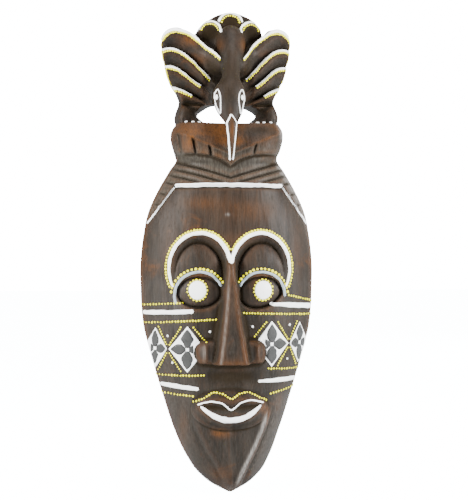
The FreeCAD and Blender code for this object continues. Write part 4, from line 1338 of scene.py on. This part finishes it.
fanPaint = {"half": 1.15, "thick": 0.8, "beadIn": 2.7, "beadArc": (4, 176), "bead": 1.05, "pitch": 2.4}


def makeFanPaint():
    lines, dots = bmesh.new(), bmesh.new()
    f = fanPaint
    for arc in bird["fanArcs"]:
        first = -22 if arc[0] < 0 else 2
        last = 202 if arc[0] > 0 else 178
        layStroke(lines, arcPath(arc, first, last), f["half"], f["thick"])
        layDots(dots, arcPath(grown(arc, -f["beadIn"]), *f["beadArc"]), f["bead"], f["pitch"])
    return [finishPaint(lines, "tailPaint", "white_paint", ["tail_arc_paint"]),
            finishPaint(dots, "tailBeads", "yellow_paint", ["tail_dots"])]


headPaint = {
    "apex": (0.3, 387.5), "shoulder": (4.9, 379.0), "tip": (1.3, 341.6), "half": (0.75, 0.55),
    "eye": [(12.3, 413.0), (14.7, 408.5), (14.9, 402.5), (13.0, 394.5), (10.4, 388.5), (9.6, 395.0),
            (9.2, 402.0), (10.2, 409.0), (12.3, 413.0)],
    "pupil": (13.0, 404.5, 1.5, 2.6), "eyeHalf": 0.5, "thick": 0.5,
}


def makeHeadPaint():
    beak, eyes = bmesh.new(), bmesh.new()
    p = headPaint
    for side, half in zip(sides, p["half"]):
        path = straightPath([p["apex"], p["shoulder"], p["tip"]], 0.8)
        layStroke(beak, mirrored(path, side), half, p["thick"])
        layStroke(eyes, mirrored(curvePath(p["eye"], 0.6), side), p["eyeHalf"], p["thick"])
        x, h, rx, rh = p["pupil"]
        layPatch(eyes, side * x, h, rx, rh, p["thick"], fine=16)
    return [finishPaint(beak, "beakPaint", "white_paint", ["beak_line_paint"]),
            finishPaint(eyes, "birdEyePaint", "white_paint", ["bird_eye_paint"])]


clawPaint = {"at": (22.5, 28.5, 35.0, 42.0), "height": 383.5, "long": 3.4, "half": 0.8, "thick": 0.5}


def makeClawPaint():
    bm = bmesh.new()
    c = clawPaint
    for side in sides:
        for x in c["at"]:
            path = straightPath([(side * x, c["height"]), (side * (x + c["long"]), c["height"] - 0.2)], 0.4)
            layStroke(bm, path, c["half"], c["thick"])
    finishPaint(bm, "clawPaint", "white_paint", ["claw_paint"])


# The bird is not quite even: body and tail lean right, the head goes left and the left wing is longer
lean = {"wing": -3.6, "tail": 2.8,
        "body": [(345, 0.0), (380, -0.3), (393, -1.6), (407, -2.4), (425, 0.0), (440, 1.6), (462, 3.0),
                 (482, 3.2)]}
bodyLean = stationCurve(lean["body"])


def leanBird(piece):
    mesh = piece.data
    co = vertexArray(mesh, "co")
    x, h = co[:, 0] / mm, (co[:, 2] - chinZ) / mm
    wing = lean["wing"] * smooth(30, 62, -x) * smooth(398, 416, h)
    tail = lean["tail"] * smooth(468, 482, h) * smooth(46, 36, np.abs(x)) * smooth(12, 24, np.abs(x))
    body = bodyLean(h) * smooth(27, 13, np.abs(x)) * smooth(341, 346, h)
    co[:, 0] += (wing + tail + body) * mm
    mesh.vertices.foreach_set("co", co.ravel())
    mesh.update()


for piece in [carvedBird, *makeWingPaint(), *makeFanPaint(), *makeHeadPaint()]:
    leanBird(piece)
makeClawPaint()
print("bird painted")


# ---- pegs and hanger

pegs = {"radius": 4.0, "bevel": 0.8, "segments": 40}


def makePegs():
    low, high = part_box("crest_dowels")
    bm = bmesh.new()
    r = pegs["radius"] * mm
    for side in sides:
        spot = Matrix.Translation((side * (high.x - r), (low.y + high.y) / 2, (low.z + high.z) / 2))
        bmesh.ops.create_cone(bm, cap_ends=True, segments=pegs["segments"], radius1=r, radius2=r,
                              depth=high.z - low.z, matrix=spot)
    rims = [e for e in bm.edges if abs(e.verts[0].co.z - e.verts[1].co.z) < 1e-7]
    bmesh.ops.bevel(bm, geom=rims, offset=pegs["bevel"] * mm, offset_type="OFFSET", segments=3, profile=0.5,
                    affect="EDGES", material=-1)
    finishPiece(bm, "crestPegs", "bare_wood", ["crest_dowels"], sharp=40)


hanger = {"wire": 1.1, "radius": 10.0, "side": 4.0, "corner": 1.6, "strapWide": 6.0, "strapThick": 0.8,
          "rollRadius": 1.75, "screwDrops": (8.0, 21.0), "screwHead": 2.8, "slot": 0.35,
          "thread": (0.95, 1.35), "threadSteps": 18}
ringJoint = frame["joints"][0]
pivot = Vector(ringJoint["pos_m"])


# A tube that follows points in the plane of the ring
def makeRing():
    g = hanger
    r, side, c = g["radius"], g["side"], g["corner"]
    points = [(-r + c, 0), (r - c, 0)]
    points += [(r - c + c * math.sin(a), -c + c * math.cos(a)) for a in np.linspace(0.3, 1.57, 5)]
    points += [(r * math.cos(a), -side - r * math.sin(a)) for a in np.linspace(0, math.pi, 40)]
    points += [(-r + c - c * math.cos(a), -c + c * math.sin(a)) for a in np.linspace(0.0, 1.27, 5)]
    loop = straightPath(points + points[:1], 0.8)[:-1]
    count = len(loop)
    bm = bmesh.new()
    made = bmesh.ops.create_grid(bm, x_segments=count, y_segments=14, size=1.0)["verts"]
    for vert in made:
        i = int(round((0.5 + 0.5 * vert.co.x) * count)) % count
        turn = math.pi * vert.co.y
        (ax, az), (bx, bz) = loop[i - 1], loop[(i + 1) % count]
        long = math.dist((ax, az), (bx, bz))
        nx, nz = (bz - az) / long, (ax - bx) / long
        out = g["wire"] * math.cos(turn)
        vert.co = pivot + Vector(((loop[i][0] + nx * out) * mm, g["wire"] * math.sin(turn) * mm,
                                  (loop[i][1] + nz * out) * mm))
    finishPiece(bm, "hangerRing", "steel", ["hanger_ring"], body="ring", weld=1e-5)


def makeStrap():
    g = hanger
    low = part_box("hanger_strap")[0]
    floor = low.y + g["strapThick"] / 2 * mm
    roll = g["rollRadius"] * mm
    path = [(floor, low.z + (pivot.z - roll * 0.9 - low.z) * i / 24) for i in range(25)]
    path += [(pivot.y - roll * math.cos(a), pivot.z + roll * math.sin(a))
             for a in np.linspace(-0.45, 4.6, 30)]
    bm = bmesh.new()
    count = len(path) - 1
    made = bmesh.ops.create_grid(bm, x_segments=count, y_segments=16, size=1.0)["verts"]
    for vert in made:
        i = int(round((0.5 + 0.5 * vert.co.x) * count))
        y, z = path[i]
        rounded = math.sqrt(max(0.0, 1 - max(0.0, 1 - (z - low.z) / (4.5 * mm)) ** 2)) if i < 8 else 1.0
        vert.co = Vector((vert.co.y * g["strapWide"] * mm * (0.35 + 0.65 * rounded), y, z))
    bmesh.ops.recalc_face_normals(bm, faces=bm.faces)
    bmesh.ops.solidify(bm, geom=bm.faces[:], thickness=g["strapThick"] * mm)
    for vert in bm.verts:
        vert.co.y = max(vert.co.y, low.y) if vert.co.z < pivot.z - 2.5 * mm else vert.co.y
    finishPiece(bm, "hangerStrap", "steel", ["hanger_strap"], weld=1e-7, sharp=35)


def makeScrews():
    g = hanger
    low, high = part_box("hanger_screws")
    bm = bmesh.new()
    head = g["screwHead"] * mm
    for drop in g["screwDrops"]:
        z = pivot.z - drop * mm
        profile = [(0, high.y), (head * 0.55, high.y), (head * 0.9, high.y - 0.35 * mm),
                   (head, high.y - 0.8 * mm), (head * 0.98, high.y - 1.2 * mm), (head * 0.5, high.y - 1.25 * mm)]
        root, crest = g["thread"]
        for i in range(g["threadSteps"]):
            y = high.y - 1.3 * mm - (high.y - low.y - 3.5 * mm) * i / g["threadSteps"]
            profile.append(((root if i % 2 else crest) * mm, y))
        profile.append((0, low.y))
        verts = [bm.verts.new((px, py, z)) for px, py in profile]
        edges = [bm.edges.new(pair) for pair in zip(verts, verts[1:])]
        bmesh.ops.spin(bm, geom=verts + edges, cent=(0, 0, z), axis=(0, 1, 0), angle=2 * math.pi, steps=32,
                       use_merge=True)
        bmesh.ops.remove_doubles(bm, verts=bm.verts, dist=1e-6)
        cutSlot(bm, z, high.y, g["slot"] * mm)
    finishPiece(bm, "hangerScrews", "steel", ["hanger_screws"], sharp=35)


# Slot across a screw head: two cuts, then the strip between them is pressed in
def cutSlot(bm, z, top, half):
    def headFaces():
        return [f for f in bm.faces if f.calc_center_median().y > top - 0.6 * mm
                and abs(f.calc_center_median().z - z) < 4 * mm]

    for up in sides:
        cutFaces(bm, headFaces(), (0, 0, z + up * half), (0, 0, 1))
    pressIn(bm, [f for f in headFaces() if abs(f.calc_center_median().z - z) < half], top - 0.75 * mm)


makePegs()
makeRing()
makeStrap()
makeScrews()
print("pegs and hanger made")


# ---- floor, light and camera

studio = {"floorDrop": 1.0, "floorHalf": 6.0, "floorColor": (0.86, 0.90, 0.92, 1), "floorGlow": 15.0,
          "floorMottle": (0.83, 0.85, 0.86, 1), "glowColor": (0.93, 0.985, 1.0, 1), "roughness": 0.8,
          "world": (0.95, 0.98, 1.0, 1), "worldStrength": 0.55, "backdropStrength": 20.0}


def makeFloor():
    bm = bmesh.new()
    bmesh.ops.create_grid(bm, x_segments=8, y_segments=8, size=studio["floorHalf"])
    bmesh.ops.translate(bm, verts=bm.verts, vec=(0, 0, chinZ - studio["floorDrop"] * mm))
    mesh = bpy.data.meshes.new("floor")
    bm.to_mesh(mesh)
    bm.free()
    floor = addObject("floor", mesh)
    made, tree, shader, coords = startMaterial("floorPaper")
    mottle = noiseNode(tree, coords, 3.0, 3, 0.5)
    color = mixColor(tree, mottle, studio["floorColor"], studio["floorMottle"])
    tree.links.new(color, shader.inputs["Base Color"])
    shader.inputs["Roughness"].default_value = studio["roughness"]
    shader.inputs["Emission Color"].default_value = studio["glowColor"]
    seen = tree.nodes.new("ShaderNodeLightPath")
    glow = mathNode(tree, "MULTIPLY", seen.outputs["Is Camera Ray"], studio["floorGlow"])
    tree.links.new(glow, shader.inputs["Emission Strength"])
    mesh.materials.append(made)


# Name, place and target in metres, size, power and colour
lamps = [
    ("leftLight", (-1.32, -0.65, 0.25), (0, 0, -0.08), 0.5, 68, (1.0, 0.99, 0.97)),
    ("rightLight", (1.27, -0.7, 0.2), (0, 0, -0.08), 0.5, 68, (0.98, 0.99, 1.0)),
    ("backLight", (1.4, 1.6, 0.5), (0, 0, -0.08), 0.8, 26, (1.0, 0.99, 0.97)),
    ("topLight", (0.05, -0.55, 1.15), (0, -0.03, 0.05), 0.5, 17, (1.0, 1.0, 1.0)),
]


def addArea(name, at, target, size, power, color):
    lamp = bpy.data.lights.new(name, "AREA")
    lamp.size = size
    lamp.energy = power
    lamp.color = color
    made = addObject(name, lamp)
    made.location = at
    made.rotation_euler = (Vector(target) - Vector(at)).to_track_quat("-Z", "Y").to_euler()


view = {"azimuth": -6.0, "distance": 1.2, "lens": 82.0, "sensor": 36.0,
        "targetX": 8.4, "targetHeight": 251.7}


def makeCamera():
    lens = bpy.data.cameras.new("camera")
    lens.sensor_width = view["sensor"]
    lens.lens = view["lens"]
    made = addObject("camera", lens)
    a = math.radians(view["azimuth"])
    target = place(view["targetX"], 0, view["targetHeight"])
    back = Vector((math.sin(a), -math.cos(a), 0))
    made.location = target + back * view["distance"]
    made.rotation_euler = (-back).to_track_quat("-Z", "Y").to_euler()
    bpy.context.scene.camera = made


# The paper behind is brighter to the eye than it is as a light
def makeWorld():
    world = bpy.data.worlds.new("studio")
    world.use_nodes = True
    sky = world.node_tree
    background = sky.nodes["Background"]
    background.inputs["Color"].default_value = studio["world"]
    seen = sky.nodes.new("ShaderNodeLightPath")
    strength = rampNode(sky, seen.outputs["Is Camera Ray"], 0.0, 1.0, False)
    strength.node.inputs["To Min"].default_value = studio["worldStrength"]
    strength.node.inputs["To Max"].default_value = studio["backdropStrength"]
    sky.links.new(strength, background.inputs["Strength"])
    bpy.context.scene.world = world


makeFloor()
for lamp in lamps:
    addArea(*lamp)
makeWorld()
makeCamera()
print("studio set")
